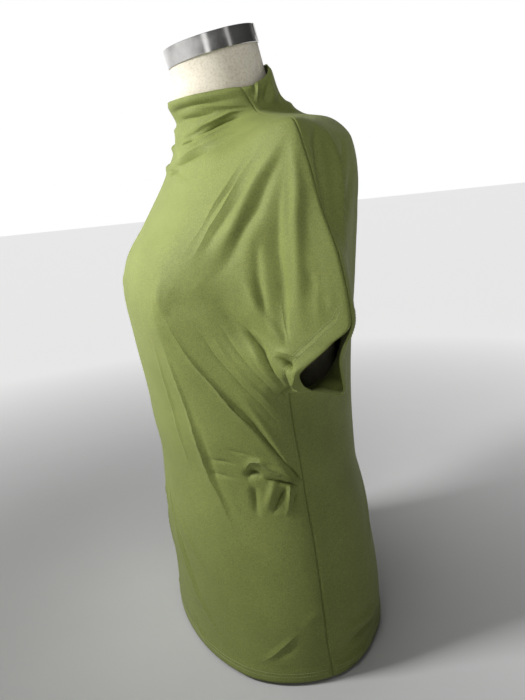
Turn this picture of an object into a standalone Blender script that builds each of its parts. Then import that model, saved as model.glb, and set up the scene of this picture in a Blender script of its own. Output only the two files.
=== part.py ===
"""A jersey blouse with a funnel neck and cut-on cap sleeves, worn by a limbless dress form.

Metres, +Z up. The blouse faces -Y, so its wearer's left is +X. The origin is the middle of the form's foot.
The blouse is two cut pieces, front and back, which meet at the side, underarm, overarm, shoulder and neck
seams. Each piece is a wall through sections, with its folds added along the surface.
"""

import math

import bmesh
import bpy
import numpy as np

MM = 0.001

# Cloth, in metres
CLOTH_THICKNESS = 0.0012
SEAM_GAP = 0.0003
SEAM_HOLD = 0.010           # folds die away this close to a seam
PANEL_COLUMNS = {"front": 20, "back": 13}   # quads from the centre line to the seam
ARC_SAMPLES = 160
NORMAL_SMOOTHING = 2

# The blouse from hem to neck, in millimetres. Each row is one section across both panels: from the centre
# line, through a side point, to the seam.
# rows: mesh rows up to the next section. seam: where front meets back, or the middle of the cuff's opening.
# cuff: from the middle of the opening to the back's edge. turn: degrees between the section's end and X.
# level: per cent of the way out from where the section leaves its middle height for the seam's.
SECTION_COLUMNS = (
    "rows", "seam_x", "seam_y", "seam_z", "cuff_y", "cuff_z", "turn", "level",
    "front_y", "front_z", "front_side_x", "front_side_y",
    "back_y", "back_z", "back_side_x", "back_side_y",
)
SECTIONS = {
    "hem": (2, 181, 12, 5, 0, 0, 90, 55, -117, 4, 134, -85, 128, 6, 134, 81),
    "hip": (3, 179, 5, 60, 0, 0, 90, 55, -117, 60, 130, -80, 125, 60, 134, 84),
    "high_hip": (5, 166, 3, 136, 0, 0, 90, 55, -121, 136, 122, -80, 119, 136, 125, 80),
    "waist": (7, 153, -4, 225, 0, 0, 90, 55, -119, 225, 114, -77, 108, 225, 116, 71),
    "ribs": (3, 156, -12, 300, 0, 0, 90, 55, -127, 300, 116, -84, 107, 300, 118, 69),
    "armpit": (2, 165, -16, 356, 0, 0, 90, 55, -126, 352, 124, -82, 111.5, 352, 122, 69),
    "lip": (2, 192, -2, 338, 0, 0, 70, 80, -124, 362, 126, -80, 112.5, 360, 123, 69),
    "cuff_low": (2, 203, 2, 350, 21, -16, 60, 74, -123, 374, 128, -78, 113.5, 372, 124, 69),
    "cuff_high": (2, 219, 12, 382, 4, -6, 50, 64, -121, 392, 130, -76, 115, 390, 127, 68),
    "corner": (3, 230, 25, 410, 0, 0, 50, 55, -120, 412, 132, -74, 116.5, 410, 130, 67),
    "upper_arm": (3, 224, 20, 466, 0, 0, 50, 55, -116, 458, 134, -66, 118.5, 460, 132, 71),
    "armhole": (3, 211, 11, 515, 0, 0, 55, 55, -94, 500, 136, -57, 121, 505, 134, 78),
    "shoulder_cap": (3, 198, 6, 560, 0, 0, 60, 55, -78, 538, 134, -44, 130, 545, 132, 83),
    "shoulder_tip": (3, 180, 3, 593, 0, 0, 60, 55, -69, 563, 124, -35, 127, 577, 122, 84),
    "mid_shoulder": (4, 132, 10, 600, 0, 0, 60, 55, -62, 582, 92, -29, 113, 600, 90, 77),
    "neck_base": (3, 68, 9, 613, 0, 0, 75, 55, -61, 598, 52, -38, 86, 611, 52, 56),
    "neck": (3, 60, 5, 626, 0, 0, 90, 55, -58, 611, 45, -39, 61, 636, 46, 44),
    "neck_top": (0, 57, 0, 639, 0, 0, 90, 55, -68, 633, 42, -46, 53, 667, 42, 40),
}
SIDE_TURN = 2.3             # a section's slope at its side point, as a multiple of its chord's slope

# The bust as the cloth spans it, in metres
BUST_X = 0.090
BUST_Z = 0.440
BUST_SPAN_DIP = 0.34        # how much of the swell is lost midway between the two sides
CLOTH_BUST = {"depth": 0.029, "width": 0.040, "rise": 0.118, "fall": 0.147}
FORM_BUST = {"depth": 0.034, "width": 0.042, "rise": 0.105, "fall": 0.090}
BUST_TIP = 0.018            # height over which the cloth rounds over the fullest point

# Folds. across: per cent of the way from the centre line to the left seam, minus for the right one.
# z, width and height: millimetres. A minus height is a trough. peak: where along the fold it is highest.
FOLD_COLUMNS = (
    "panel", "from_across", "from_z", "to_across", "to_z", "bow",
    "from_width", "to_width", "height", "peak",
)
FOLDS = {
    "neck_roll_left": ("front", -12, 625, 97, 624, 0, 6, 6, -5.0, 0.6),
    "neck_roll_right": ("front", 8, 623, -92, 626, 2, 6, 6, -4.0, 0.5),
    "neck_drape_upper": ("front", 10, 594, 64, 614, -6, 6, 6, -5.5, 0.35),
    "neck_drape_crest": ("front", 4, 588, 66, 606, -6, 6, 6, 3.0, 0.4),
    "neck_drape_middle": ("front", 26, 586, 86, 608, -3, 6, 7, -4.0, 0.4),
    "neck_drape_ridge": ("front", -10, 573, 62, 590, -2, 6, 8, 6.5, 0.2),
    "neck_drape_long": ("front", -12, 564, 72, 585, -3, 6, 8, -6.5, 0.2),
    "neck_drape_low_ridge": ("front", -16, 556, 30, 566, 0, 7, 8, 4.5, 0.35),
    "neck_drape_right": ("front", -12, 586, -80, 606, 4, 7, 8, -5.0, 0.5),
    "neck_drape_right_ridge": ("front", -20, 576, -74, 596, 3, 7, 8, 4.0, 0.5),
    "neck_drape_right_low": ("front", -8, 562, -66, 576, 3, 7, 9, -5.0, 0.3),
    "bust_line_left": ("front", 74, 560, 35, 436, -4, 13, 16, 5.0, 0.6),
    "bust_line_left_outer": ("front", 84, 566, 50, 478, -4, 9, 12, 3.5, 0.5),
    "bust_hollow_left": ("front", 74, 520, 54, 430, 0, 18, 26, -6.0, 0.6),
    "bust_line_right": ("front", -72, 560, -35, 436, 4, 13, 16, 5.0, 0.6),
    "bust_line_right_outer": ("front", -82, 562, -52, 484, 4, 10, 12, 3.0, 0.5),
    "bust_hollow_right": ("front", -72, 514, -54, 430, 0, 18, 26, -6.0, 0.6),
    "sleeve_edge_left": ("front", 90, 560, 85, 384, 0, 13, 15, 6.0, 0.5),
    "sleeve_edge_right": ("front", -90, 556, -86, 384, 0, 13, 15, 6.0, 0.5),
    "underarm_left": ("front", 88, 372, 62, 408, 2, 8, 16, -4.0, 0.3),
    "underarm_right": ("front", -88, 372, -64, 404, -2, 8, 16, -4.0, 0.3),
    "waist_drag": ("front", 99, 227, 34, 424, 3, 7, 18, 8.0, 0.55),
    "waist_drag_trough": ("front", 98, 240, 76, 340, 4, 5, 14, -6.0, 0.4),
    "waist_ridge": ("front", 99, 226, 76, 262, 2, 6, 12, 7.0, 0.4),
    "waist_tuck": ("front", 99, 224, 71, 243, 2, 4, 9, -10.0, 0.6),
    "waist_low_ridge": ("front", 98, 220, 80, 196, -2, 5, 10, 5.0, 0.3),
    "waist_low_trough": ("front", 95, 226, 86, 186, 0, 5, 8, -4.5, 0.3),
    "waist_low_hollow": ("front", 76, 236, 73, 190, 0, 8, 11, -4.5, 0.3),
    "front_drag_left": ("front", 24, 385, 66, 145, -2, 11, 16, 3.5, 0.5),
    "front_drag_middle": ("front", 8, 380, 34, 150, -3, 12, 16, 3.0, 0.5),
    "front_drag_right": ("front", -30, 400, -8, 180, 2, 14, 18, 3.0, 0.4),
    "hem_ridge_front": ("front", 64, 20, 90, 66, 0, 9, 9, 4.0, 0.5),
    "neck_back_hollow": ("back", 90, 626, 62, 652, 4, 8, 12, -6.5, 0.6),
    "neck_back_roll": ("back", 60, 641, -60, 641, 0, 7, 7, 5.0, 0.5),
    "neck_back_hollow_right": ("back", -88, 626, -62, 650, -4, 8, 11, -6.0, 0.6),
    "sleeve_back_trough_left": ("back", 93, 590, 91, 440, 2, 8, 11, -9.0, 0.35),
    "sleeve_back_ridge_left": ("back", 84, 586, 82, 430, 3, 9, 12, 8.0, 0.4),
    "sleeve_back_hollow_left": ("back", 72, 566, 66, 420, 2, 13, 18, -8.0, 0.4),
    "sleeve_back_trough_right": ("back", -92, 588, -91, 450, -2, 9, 12, -8.0, 0.4),
    "sleeve_back_ridge_right": ("back", -83, 582, -81, 436, -3, 10, 13, 7.5, 0.4),
    "sleeve_back_hollow_right": ("back", -70, 560, -66, 424, -2, 14, 19, -7.0, 0.45),
    "back_hip_ridge": ("back", 90, 32, 52, 86, 0, 10, 12, 5.0, 0.5),
    "back_hip_ridge_low": ("back", 84, 16, 58, 58, 0, 8, 10, 4.0, 0.5),
    "back_waist_right": ("back", -92, 236, -40, 214, 0, 12, 16, 3.5, 0.4),
    "back_waist_left": ("back", 90, 242, 44, 222, 0, 12, 16, 3.5, 0.4),
}
FOLD_STEPS = 12
SHARP_ANGLE = math.radians(50)

# The dress form from foot to neck, in millimetres. slope: how much a ring climbs towards the back.
FORM_COLUMNS = ("half_width", "middle_y", "z", "slope", "front_y", "front_round", "back_y", "back_round")
FORM_SECTIONS = {
    "foot_edge": (158, 8, 0, 0.0, -92, 2.1, 102, 2.1),
    "foot": (166, 8, 7, 0.0, -100, 2.1, 110, 2.1),
    "hip": (168, 7, 50, 0.0, -104, 2.1, 114, 2.1),
    "high_hip": (152, 2, 136, 0.0, -103, 2.1, 102, 2.1),
    "waist": (128, -2, 225, 0.0, -90, 2.1, 84, 2.1),
    "ribs": (132, -4, 310, 0.0, -96, 2.1, 92, 2.1),
    "bust": (142, -2, 420, 0.0, -99, 2.1, 104, 2.1),
    "chest": (150, 2, 490, 0.0, -88, 2.0, 116, 2.0),
    "upper_chest": (158, 6, 540, 0.0, -70, 1.8, 122, 1.9),
    "shoulder_front": (158, 8, 568, 0.0, -57, 1.4, 118, 1.8),
    "shoulder_round": (156, 9, 585, 0.0, -53, 1.2, 106, 1.7),
    "shoulder_end": (147, 9, 594, 0.0, -48, 1.05, 102, 1.6),
    "shoulder_outer": (132, 9.5, 598.8, 0.0, -44, 1.0, 94, 1.5),
    "shoulder": (115, 9.5, 601.6, 0.0, -44, 1.0, 88, 1.4),
    "shoulder_inner": (100, 9.5, 604.2, 0.0, -44, 1.0, 82, 1.3),
    "neck_side": (85, 9, 606.9, 0.0, -44, 1.0, 75, 1.3),
    "neck_root": (68, 8, 611.2, 0.0, -45, 1.2, 62, 1.5),
    "neck_base": (53, 2, 618, 0.03, -50, 1.9, 53, 1.9),
    "neck": (52, -5, 646, 0.12, -59, 2.0, 47, 2.0),
}
FORM_QUARTER = 10           # quads in a quarter of a ring
FORM_RINGS_BETWEEN = 1

# The neck's top, its steel band and its cap, in metres
NECK_TOP = (0.0, -0.0147, 0.6982)
NECK_TILT = math.radians(11.9)
NECK_RADIUS = 0.0508
BAND_HEIGHT = 0.0193
BAND_THICKNESS = 0.0010
BAND_FIT = 0.0003
BAND_LAP_THICKNESS = 0.0008
BAND_LAP_ANGLE = math.radians(52)      # of the lap's end, round from +X towards the back
BAND_LAP_WIDTH = math.radians(24)
BAND_SEGMENTS = 60
CAP_SINK = 0.0020
CAP_THICKNESS = 0.0030


def ease(t):
    """0 to 1 with level ends."""
    t = np.clip(t, 0.0, 1.0)
    return t * t * (3 - 2 * t)


def monotone_slopes(x, y):
    """Slopes of a cubic through the points that never overshoots them."""
    step = np.diff(x)
    rise = np.diff(y) / step
    slopes = np.zeros(len(x))
    slopes[0], slopes[-1] = rise[0], rise[-1]
    for i in range(1, len(x) - 1):
        before, after = rise[i - 1], rise[i]
        if before * after > 0:
            w_before = 2 * step[i] + step[i - 1]
            w_after = step[i] + 2 * step[i - 1]
            slopes[i] = (w_before + w_after) / (w_before / before + w_after / after)
    return slopes


def smooth_column(x, y, at):
    """The monotone cubic through x, y, read at each value of at."""
    slopes = monotone_slopes(x, y)
    i = np.clip(np.searchsorted(x, at, side="right") - 1, 0, len(x) - 2)
    h = x[i + 1] - x[i]
    t = (at - x[i]) / h
    return (
        y[i] * (1 + 2 * t) * (1 - t) ** 2
        + slopes[i] * h * t * (1 - t) ** 2
        + y[i + 1] * t * t * (3 - 2 * t)
        + slopes[i + 1] * h * t * t * (t - 1)
    )


def read_table(columns, table, stations, at, plain):
    """Each named column of a table, read at the values of at, in metres but for the plain columns."""
    values = np.array(list(table.values()), float)
    read = {}
    for i, name in enumerate(columns):
        unit = 1.0 if name in plain else MM
        read[name] = smooth_column(stations, values[:, i] * unit, at)
    return read


def bust_swell(x, z, bust):
    """How far the bust pushes a surface forward at x, z: taut at the two points, rounder between them."""
    outside = np.exp(-((np.maximum(np.abs(x) - BUST_X, 0) / bust["width"]) ** 2))
    spanned = 1 - np.minimum(np.abs(x) / BUST_X, 1) ** 2
    inside = 1 - BUST_SPAN_DIP * spanned
    taut = np.clip(1 - (z - BUST_Z) / bust["rise"], 0, 1)
    above = taut + (ease(taut) - taut) * spanned
    below = ease(1 - (BUST_Z - z) / bust["fall"])
    tip = 0.05 * np.clip(1 - np.abs(z - BUST_Z) / BUST_TIP, 0, 1) ** 2 * (1 - spanned)
    return bust["depth"] * outside * inside * (np.where(z > BUST_Z, above, below) - tip)


def quarter_section(centre_y, edge_x, edge_y, roundness, shares):
    """x, y from the centre line to the edge, at the given shares of the way along."""
    phi = np.linspace(0.0, math.pi / 2, ARC_SAMPLES)
    x = edge_x * np.sin(phi) ** (2 / roundness)
    y = edge_y + (centre_y - edge_y) * np.cos(phi) ** (2 / roundness)
    length = np.concatenate([[0], np.cumsum(np.hypot(np.diff(x), np.diff(y)))])
    at = np.asarray(shares) * length[-1]
    return np.interp(at, length, x), np.interp(at, length, y)


def hermite(start, start_slope, end, end_slope, length, t):
    """The cubic from start to end with the given slopes."""
    return (
        start * (1 + 2 * t) * (1 - t) ** 2
        + start_slope * length * t * (1 - t) ** 2
        + end * t * t * (3 - 2 * t)
        + end_slope * length * t * t * (t - 1)
    )


def half_section(centre_y, side_point, edge, turn, shares):
    """x, y from the centre line through the side point to the edge, at the given shares of the way along."""
    start = np.array([0.0, centre_y])
    middle = np.array(side_point)
    end = np.array(edge)
    first = np.linalg.norm(middle - start)
    second = np.linalg.norm(end - middle)
    start_slope = np.array([1.0, 0.0])
    end_slope = np.array([math.cos(turn), math.copysign(math.sin(turn), end[1] - centre_y)])
    chord_angle = math.atan2(middle[1] - start[1], middle[0])
    middle_slope = np.array([math.cos(SIDE_TURN * chord_angle), math.sin(SIDE_TURN * chord_angle)])
    t = np.linspace(0, 1, ARC_SAMPLES // 2)[:, None]
    curve = np.concatenate([
        hermite(start, start_slope, middle, middle_slope, first, t)[:-1],
        hermite(middle, middle_slope, end, end_slope, second, t),
    ])
    length = np.concatenate([[0], np.cumsum(np.hypot(*np.diff(curve, axis=0).T))])
    at = np.asarray(shares) * length[-1]
    return np.interp(at, length, curve[:, 0]), np.interp(at, length, curve[:, 1])


def base_panel(side, columns, row_density=1):
    """A panel without folds, as a grid of points from hem to neck and from the right seam to the left."""
    counts = [row[0] for row in SECTIONS.values()]
    stations = np.concatenate([[0], np.cumsum(counts[:-1])]).astype(float)
    at = np.linspace(0, stations[-1], int(stations[-1] * row_density) + 1)
    read = read_table(SECTION_COLUMNS, SECTIONS, stations, at, ("rows", "turn", "level"))
    shares = np.linspace(0, 1, columns + 1)
    away = -1 if side == "front" else 1
    points = np.zeros((len(at), 2 * columns + 1, 3))
    for i in range(len(at)):
        edge_x = read["seam_x"][i]
        edge_y = read["seam_y"][i] + away * (read["cuff_y"][i] + SEAM_GAP / 2)
        edge_z = read["seam_z"][i] + away * read["cuff_z"][i]
        side_point = (read[side + "_side_x"][i], read[side + "_side_y"][i])
        turn = math.radians(read["turn"][i])
        x, y = half_section(read[side + "_y"][i], side_point, (edge_x, edge_y), turn, shares)
        level = read["level"][i] / 100
        climb = ease((shares - level) / (1 - level))
        centre_z = read[side + "_z"][i]
        z = centre_z + (edge_z - centre_z) * climb
        if side == "front":
            y = y - bust_swell(x, z, CLOTH_BUST) * ease((1 - shares) / 0.25)
        half = np.stack([x, y, z], -1)
        points[i] = np.concatenate([half[:0:-1] * np.array([-1, 1, 1]), half])
    return points


def unit(vectors):
    return vectors / (np.linalg.norm(vectors, axis=-1, keepdims=True) + 1e-12)


def outward_normals(points, side):
    """Unit normals of a panel's grid of points, away from the form and, at a seam, never across it."""
    away = -1 if side == "front" else 1
    normals = unit(np.cross(np.gradient(points, axis=1), np.gradient(points, axis=0))) * -away
    for _ in range(NORMAL_SMOOTHING):
        padded = np.pad(normals, ((1, 1), (1, 1), (0, 0)), mode="edge")
        beside = padded[:-2, 1:-1] + padded[2:, 1:-1] + padded[1:-1, :-2] + padded[1:-1, 2:]
        normals = unit(normals + beside / 4)
    for column in (0, -1):
        normals[:, column, 1] = away * np.maximum(normals[:, column, 1] * away, 0)
    return unit(normals)


def point_on_panel(points, across, z):
    """The place on a panel at a share across, in per cent, and a height."""
    columns = (points.shape[1] - 1) // 2
    column = columns * (1 + across / 100)
    low = int(np.clip(math.floor(column), 0, 2 * columns - 1))
    found = []
    for j in (low, low + 1):
        heights = np.maximum.accumulate(points[:, j, 2]) + np.arange(len(points)) * 1e-9
        found.append([np.interp(z, heights, points[:, j, k]) for k in range(3)])
    return np.array(found[0]) + (np.array(found[1]) - np.array(found[0])) * (column - low)


def fold_path(points, fold):
    """A fold's line along the panel."""
    path = []
    for t in np.linspace(0, 1, FOLD_STEPS + 1):
        across = fold["from_across"] + (fold["to_across"] - fold["from_across"]) * t
        across += fold["bow"] * 4 * t * (1 - t)
        z = fold["from_z"] + (fold["to_z"] - fold["from_z"]) * t
        path.append(point_on_panel(points, across, z * MM))
    return np.array(path)


def nearest_on_path(points, path):
    """Each point's distance from a path, and how far along the path its nearest place is."""
    best = np.full(points.shape[:-1], np.inf)
    along = np.zeros(points.shape[:-1])
    for k in range(len(path) - 1):
        step = path[k + 1] - path[k]
        t = np.clip(((points - path[k]) @ step) / (step @ step + 1e-12), 0, 1)
        distance = np.linalg.norm(points - path[k] - t[..., None] * step, axis=-1)
        closer = distance < best
        best = np.where(closer, distance, best)
        along = np.where(closer, (k + t) / (len(path) - 1), along)
    return best, along


def fold_height(points, fold):
    """How far one fold moves each point of a panel outward."""
    distance, along = nearest_on_path(points, fold_path(points, fold))
    width = (fold["from_width"] + (fold["to_width"] - fold["from_width"]) * along) * MM
    rising = ease(along / max(fold["peak"], 1e-6))
    falling = ease((1 - along) / max(1 - fold["peak"], 1e-6))
    strength = np.where(along < fold["peak"], rising, falling)
    return fold["height"] * MM * strength * np.exp(-((distance / width) ** 2))


def seam_release(points):
    """0 at a panel's seams and 1 away from them."""
    to_left = np.linalg.norm(points - points[:, -1:], axis=-1)
    to_right = np.linalg.norm(points - points[:, :1], axis=-1)
    return ease(np.minimum(to_left, to_right) / SEAM_HOLD)


def folded_panel(side):
    """A panel's inner surface with its folds."""
    points = base_panel(side, PANEL_COLUMNS[side])
    height = np.zeros(points.shape[:-1])
    for row in FOLDS.values():
        fold = dict(zip(FOLD_COLUMNS, row))
        if fold["panel"] == side:
            height += fold_height(points, fold)
    height *= seam_release(points)
    return points + outward_normals(points, side) * height[..., None]


def finish_object(name, mesh, material):
    """Outward faces, smooth shading and an object in the scene."""
    bm = bmesh.new()
    bm.from_mesh(mesh)
    bmesh.ops.recalc_face_normals(bm, faces=bm.faces)
    bm.to_mesh(mesh)
    bm.free()
    mesh.shade_smooth()
    mesh.materials.append(material)
    obj = bpy.data.objects.new(name, mesh)
    bpy.context.scene.collection.objects.link(obj)
    return obj


def wall_object(name, inner, outer, material):
    """A closed wall between two grids of points."""
    rows, columns = inner.shape[:2]
    count = rows * columns
    verts = np.concatenate([inner.reshape(-1, 3), outer.reshape(-1, 3)])
    faces = []
    for i in range(rows - 1):
        for j in range(columns - 1):
            a = i * columns + j
            quad = (a, a + 1, a + columns + 1, a + columns)
            faces.append(quad)
            faces.append(tuple(count + v for v in reversed(quad)))
    rim = list(range(columns))
    rim += [i * columns + columns - 1 for i in range(1, rows)]
    rim += [(rows - 1) * columns + j for j in range(columns - 2, -1, -1)]
    rim += [i * columns for i in range(rows - 2, 0, -1)]
    for a, b in zip(rim, rim[1:] + rim[:1]):
        faces.append((a, b, count + b, count + a))
    mesh = bpy.data.meshes.new(name)
    mesh.from_pydata(verts.tolist(), [], faces)
    obj = finish_object(name, mesh, material)
    obj.data.set_sharp_from_angle(angle=SHARP_ANGLE)
    return obj


def lofted_solid(name, rings, material):
    """A closed solid through rings of points, with flat ends."""
    bm = bmesh.new()
    loops = [[bm.verts.new(p) for p in ring] for ring in rings]
    for low, high in zip(loops[:-1], loops[1:]):
        for k in range(len(low)):
            n = (k + 1) % len(low)
            bm.faces.new((low[k], low[n], high[n], high[k]))
    bm.faces.new(list(reversed(loops[0])))
    bm.faces.new(loops[-1])
    mesh = bpy.data.meshes.new(name)
    bm.to_mesh(mesh)
    bm.free()
    return finish_object(name, mesh, material)


def make_material(name, colour, roughness, metallic=0.0):
    material = bpy.data.materials.new(name)
    material.use_nodes = True
    shader = material.node_tree.nodes["Principled BSDF"]
    shader.inputs["Base Color"].default_value = (*colour, 1.0)
    shader.inputs["Roughness"].default_value = roughness
    shader.inputs["Metallic"].default_value = metallic
    return material


def make_panel(side, material):
    """One cut piece of the blouse."""
    inner = folded_panel(side)
    outer = inner + outward_normals(inner, side) * CLOTH_THICKNESS
    return wall_object(side, inner, outer, material)


def form_ring(read, i):
    """One ring of the form, round from the front."""
    shares = np.linspace(0, 1, FORM_QUARTER + 1)
    flip = np.array([-1, 1, 1])
    halves = {}
    for side in ("front", "back"):
        x, y = quarter_section(
            read[side + "_y"][i], read["half_width"][i], read["middle_y"][i], read[side + "_round"][i], shares
        )
        z = read["z"][i] + read["slope"][i] * (y - read["middle_y"][i])
        if side == "front":
            y = y - bust_swell(x, z, FORM_BUST) * ease((1 - shares) / 0.25)
        halves[side] = np.stack([x, y, z], -1)
    front, back = halves["front"], halves["back"]
    return np.concatenate([front[:-1], back[:0:-1], (back * flip)[:-1], (front * flip)[:0:-1]])


def neck_point(radius, angle, drop):
    """A point round the tilted neck: angle from +X towards the back, drop down its axis from the top."""
    along = radius * math.sin(angle)
    x = NECK_TOP[0] + radius * math.cos(angle)
    y = NECK_TOP[1] + along * math.cos(NECK_TILT) + drop * math.sin(NECK_TILT)
    z = NECK_TOP[2] + along * math.sin(NECK_TILT) - drop * math.cos(NECK_TILT)
    return (x, y, z)


def neck_ring(radius, drop, count):
    """A ring round the neck, from the front, in the same order as the form's rings."""
    angles = [-math.pi / 2 + 2 * math.pi * k / count for k in range(count)]
    return np.array([neck_point(radius, angle, drop) for angle in angles])


def make_form(material):
    """The covered torso and neck."""
    heights = np.array([row[2] for row in FORM_SECTIONS.values()], float) * MM
    at = []
    for low, high in zip(heights[:-1], heights[1:]):
        at += list(np.linspace(low, high, FORM_RINGS_BETWEEN + 1)[:-1])
    at = np.array(at + [heights[-1]])
    read = read_table(
        FORM_COLUMNS, FORM_SECTIONS, heights, at, ("slope", "front_round", "back_round")
    )
    rings = [form_ring(read, i) for i in range(len(at))]
    top = CAP_SINK + CAP_THICKNESS + BAND_FIT
    for drop in (BAND_HEIGHT + 0.006, BAND_HEIGHT, top):
        rings.append(neck_ring(NECK_RADIUS, drop, 4 * FORM_QUARTER))
    return lofted_solid("form_torso", rings, material)


def band_outer_radius(angle):
    """The band's outside, with its lapped end standing out by the strip's thickness."""
    radius = NECK_RADIUS + BAND_FIT + BAND_THICKNESS
    on_lap = BAND_LAP_ANGLE <= angle % (2 * math.pi) <= BAND_LAP_ANGLE + BAND_LAP_WIDTH
    return radius + (BAND_LAP_THICKNESS if on_lap else 0.0)


def make_band(material):
    """The steel band round the neck's top, one strip whose end laps over."""
    angles = [2 * math.pi * k / BAND_SEGMENTS for k in range(BAND_SEGMENTS)]
    angles += [BAND_LAP_ANGLE - 0.002, BAND_LAP_ANGLE]
    angles += [BAND_LAP_ANGLE + BAND_LAP_WIDTH, BAND_LAP_ANGLE + BAND_LAP_WIDTH + 0.002]
    bm = bmesh.new()
    rings = []
    for angle in sorted(angles):
        inner = NECK_RADIUS + BAND_FIT
        outer = band_outer_radius(angle)
        corners = ((inner, 0), (outer, 0), (outer, BAND_HEIGHT), (inner, BAND_HEIGHT))
        rings.append([bm.verts.new(neck_point(radius, angle, drop)) for radius, drop in corners])
    for a, b in zip(rings, rings[1:] + rings[:1]):
        for k in range(4):
            n = (k + 1) % 4
            bm.faces.new((a[k], a[n], b[n], b[k]))
    mesh = bpy.data.meshes.new("neck_band")
    bm.to_mesh(mesh)
    bm.free()
    obj = finish_object("neck_band", mesh, material)
    obj.data.set_sharp_from_angle(angle=SHARP_ANGLE)
    return obj


def make_cap(material):
    """The flat disc inside the band."""
    rings = [neck_ring(NECK_RADIUS, CAP_SINK + CAP_THICKNESS, BAND_SEGMENTS)]
    rings.append(neck_ring(NECK_RADIUS, CAP_SINK, BAND_SEGMENTS))
    obj = lofted_solid("neck_cap", rings, material)
    obj.data.set_sharp_from_angle(angle=SHARP_ANGLE)
    return obj


def main():
    for obj in list(bpy.data.objects):
        bpy.data.objects.remove(obj)
    olive = (0.21, 0.27, 0.07)
    linen = make_material("linen_cover", (0.72, 0.67, 0.56), 0.9)
    steel = make_material("polished_steel", (0.62, 0.60, 0.58), 0.2, 1.0)
    varnished = make_material("varnished_board", (0.30, 0.22, 0.15), 0.5)
    make_panel("front", make_material("front_jersey", olive, 0.75))
    make_panel("back", make_material("back_jersey", olive, 0.75))
    make_form(linen)
    make_band(steel)
    make_cap(varnished)


main()
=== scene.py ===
"""Looks for a jersey blouse with a funnel neck and cap sleeves on a linen-covered dress form.

Metres, +Z up. The blouse faces -Y, so its wearer's left is +X.
"""

import math

import bpy
import numpy as np
from mathutils import Matrix, Vector


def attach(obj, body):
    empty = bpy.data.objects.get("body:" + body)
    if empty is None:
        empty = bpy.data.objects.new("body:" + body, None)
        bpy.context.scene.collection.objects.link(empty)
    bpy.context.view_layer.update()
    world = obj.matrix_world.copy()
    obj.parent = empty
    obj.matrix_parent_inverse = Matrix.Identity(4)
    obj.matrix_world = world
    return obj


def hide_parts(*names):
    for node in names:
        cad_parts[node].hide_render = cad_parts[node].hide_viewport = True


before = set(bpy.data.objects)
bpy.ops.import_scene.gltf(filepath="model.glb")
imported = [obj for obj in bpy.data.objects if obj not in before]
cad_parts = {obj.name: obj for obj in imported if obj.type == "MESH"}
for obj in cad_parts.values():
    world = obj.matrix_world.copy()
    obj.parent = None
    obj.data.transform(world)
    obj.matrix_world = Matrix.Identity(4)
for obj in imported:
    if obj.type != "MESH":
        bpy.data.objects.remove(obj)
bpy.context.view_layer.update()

MM = 0.001

# Camera at the photograph's angle: degrees, metres, and pixels of focal length in a 525 by 700 frame
CAMERA = {
    "azimuth": 72.081, "turn": -1.030, "down": 13.680, "roll": -5.119, "distance": 0.8302, "height": 0.5416,
}
IMAGE_HEIGHT = 700
FOCAL_PIXELS = 693.97
SENSOR = 36.0

# Cloth, in metres
CLOTH_THICKNESS = 0.0012
SEAM_GAP = 0.0003
SEAM_HOLD = 0.004           # folds die away this close to a seam, and so do a hem's layers
SEAM_ROLL = 0.0016          # the outer face rounds over into a seam across this width
SEAM_ROLL_SHARE = 0.55      # and loses this share of the thickness there
NECK_ROLL = 0.0022          # how far the neck's edge turns in
NECK_ROLL_WIDTH = 0.0030    # the height that it turns in over
ARC_SAMPLES = 160
NORMAL_SMOOTHING = 3
COLUMNS = {"front": (56, 96), "back": (58, 78)}     # from the centre line to the right seam and to the left
ROW_SPACING = 0.0030
FINE_ROW_SPACING = {
    "hem": 0.0028, "waist": 0.0026, "neck_base": 0.0019, "neck": 0.0019, "mid_shoulder": 0.0027,
}
EASE_ROWS = 10
UNDERARM_ROWS = 30          # the underarm's easing fades over this many rows
UNDERARM_SHARE = 0.16       # and over this share of the way in from a seam
SWELL_SHARE = 0.25          # the bust's swell fades over this share of the way in from a seam

# Turned-up hem and cuff edges, in metres
HEM_DEPTH = 0.016
HEM_EXTRA = 0.0009          # the turned-up layer inside
HEM_PUFF = 0.0005           # how far the doubled cloth stands out
HEM_GROOVE = 0.0006         # depth of the dent along the turning's raw edge
HEM_GROOVE_WIDTH = 0.0016
HEM_STEP = 0.002            # width of the step at the raw edge

# Rows of stitches by their distance from the edge, in metres
HEM_ROWS = (0.0065, 0.0105)
CUFF_ROWS = (0.0130, 0.0175)
CUFF_LIP = 0.003            # the outer face doesn't roll into the seam this close to a cuff
CUFF_PATH_ROWS = (6, 8)     # rows of the panel that a cuff's stitches reach below and above its opening
STITCH = 0.0024
STITCH_GAP = 0.0007
THREAD_RADIUS = 0.00027
THREAD_SIDES = 5
STITCH_BURY = 0.8           # how deep a stitch's ends dip, in thread radii
STITCH_LIFT = 0.55          # how high its middle lies, in thread radii
OVERLOCK_FROM = 0.0012
OVERLOCK_TO = 0.0052
OVERLOCK_SPACING = 0.0014

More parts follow.
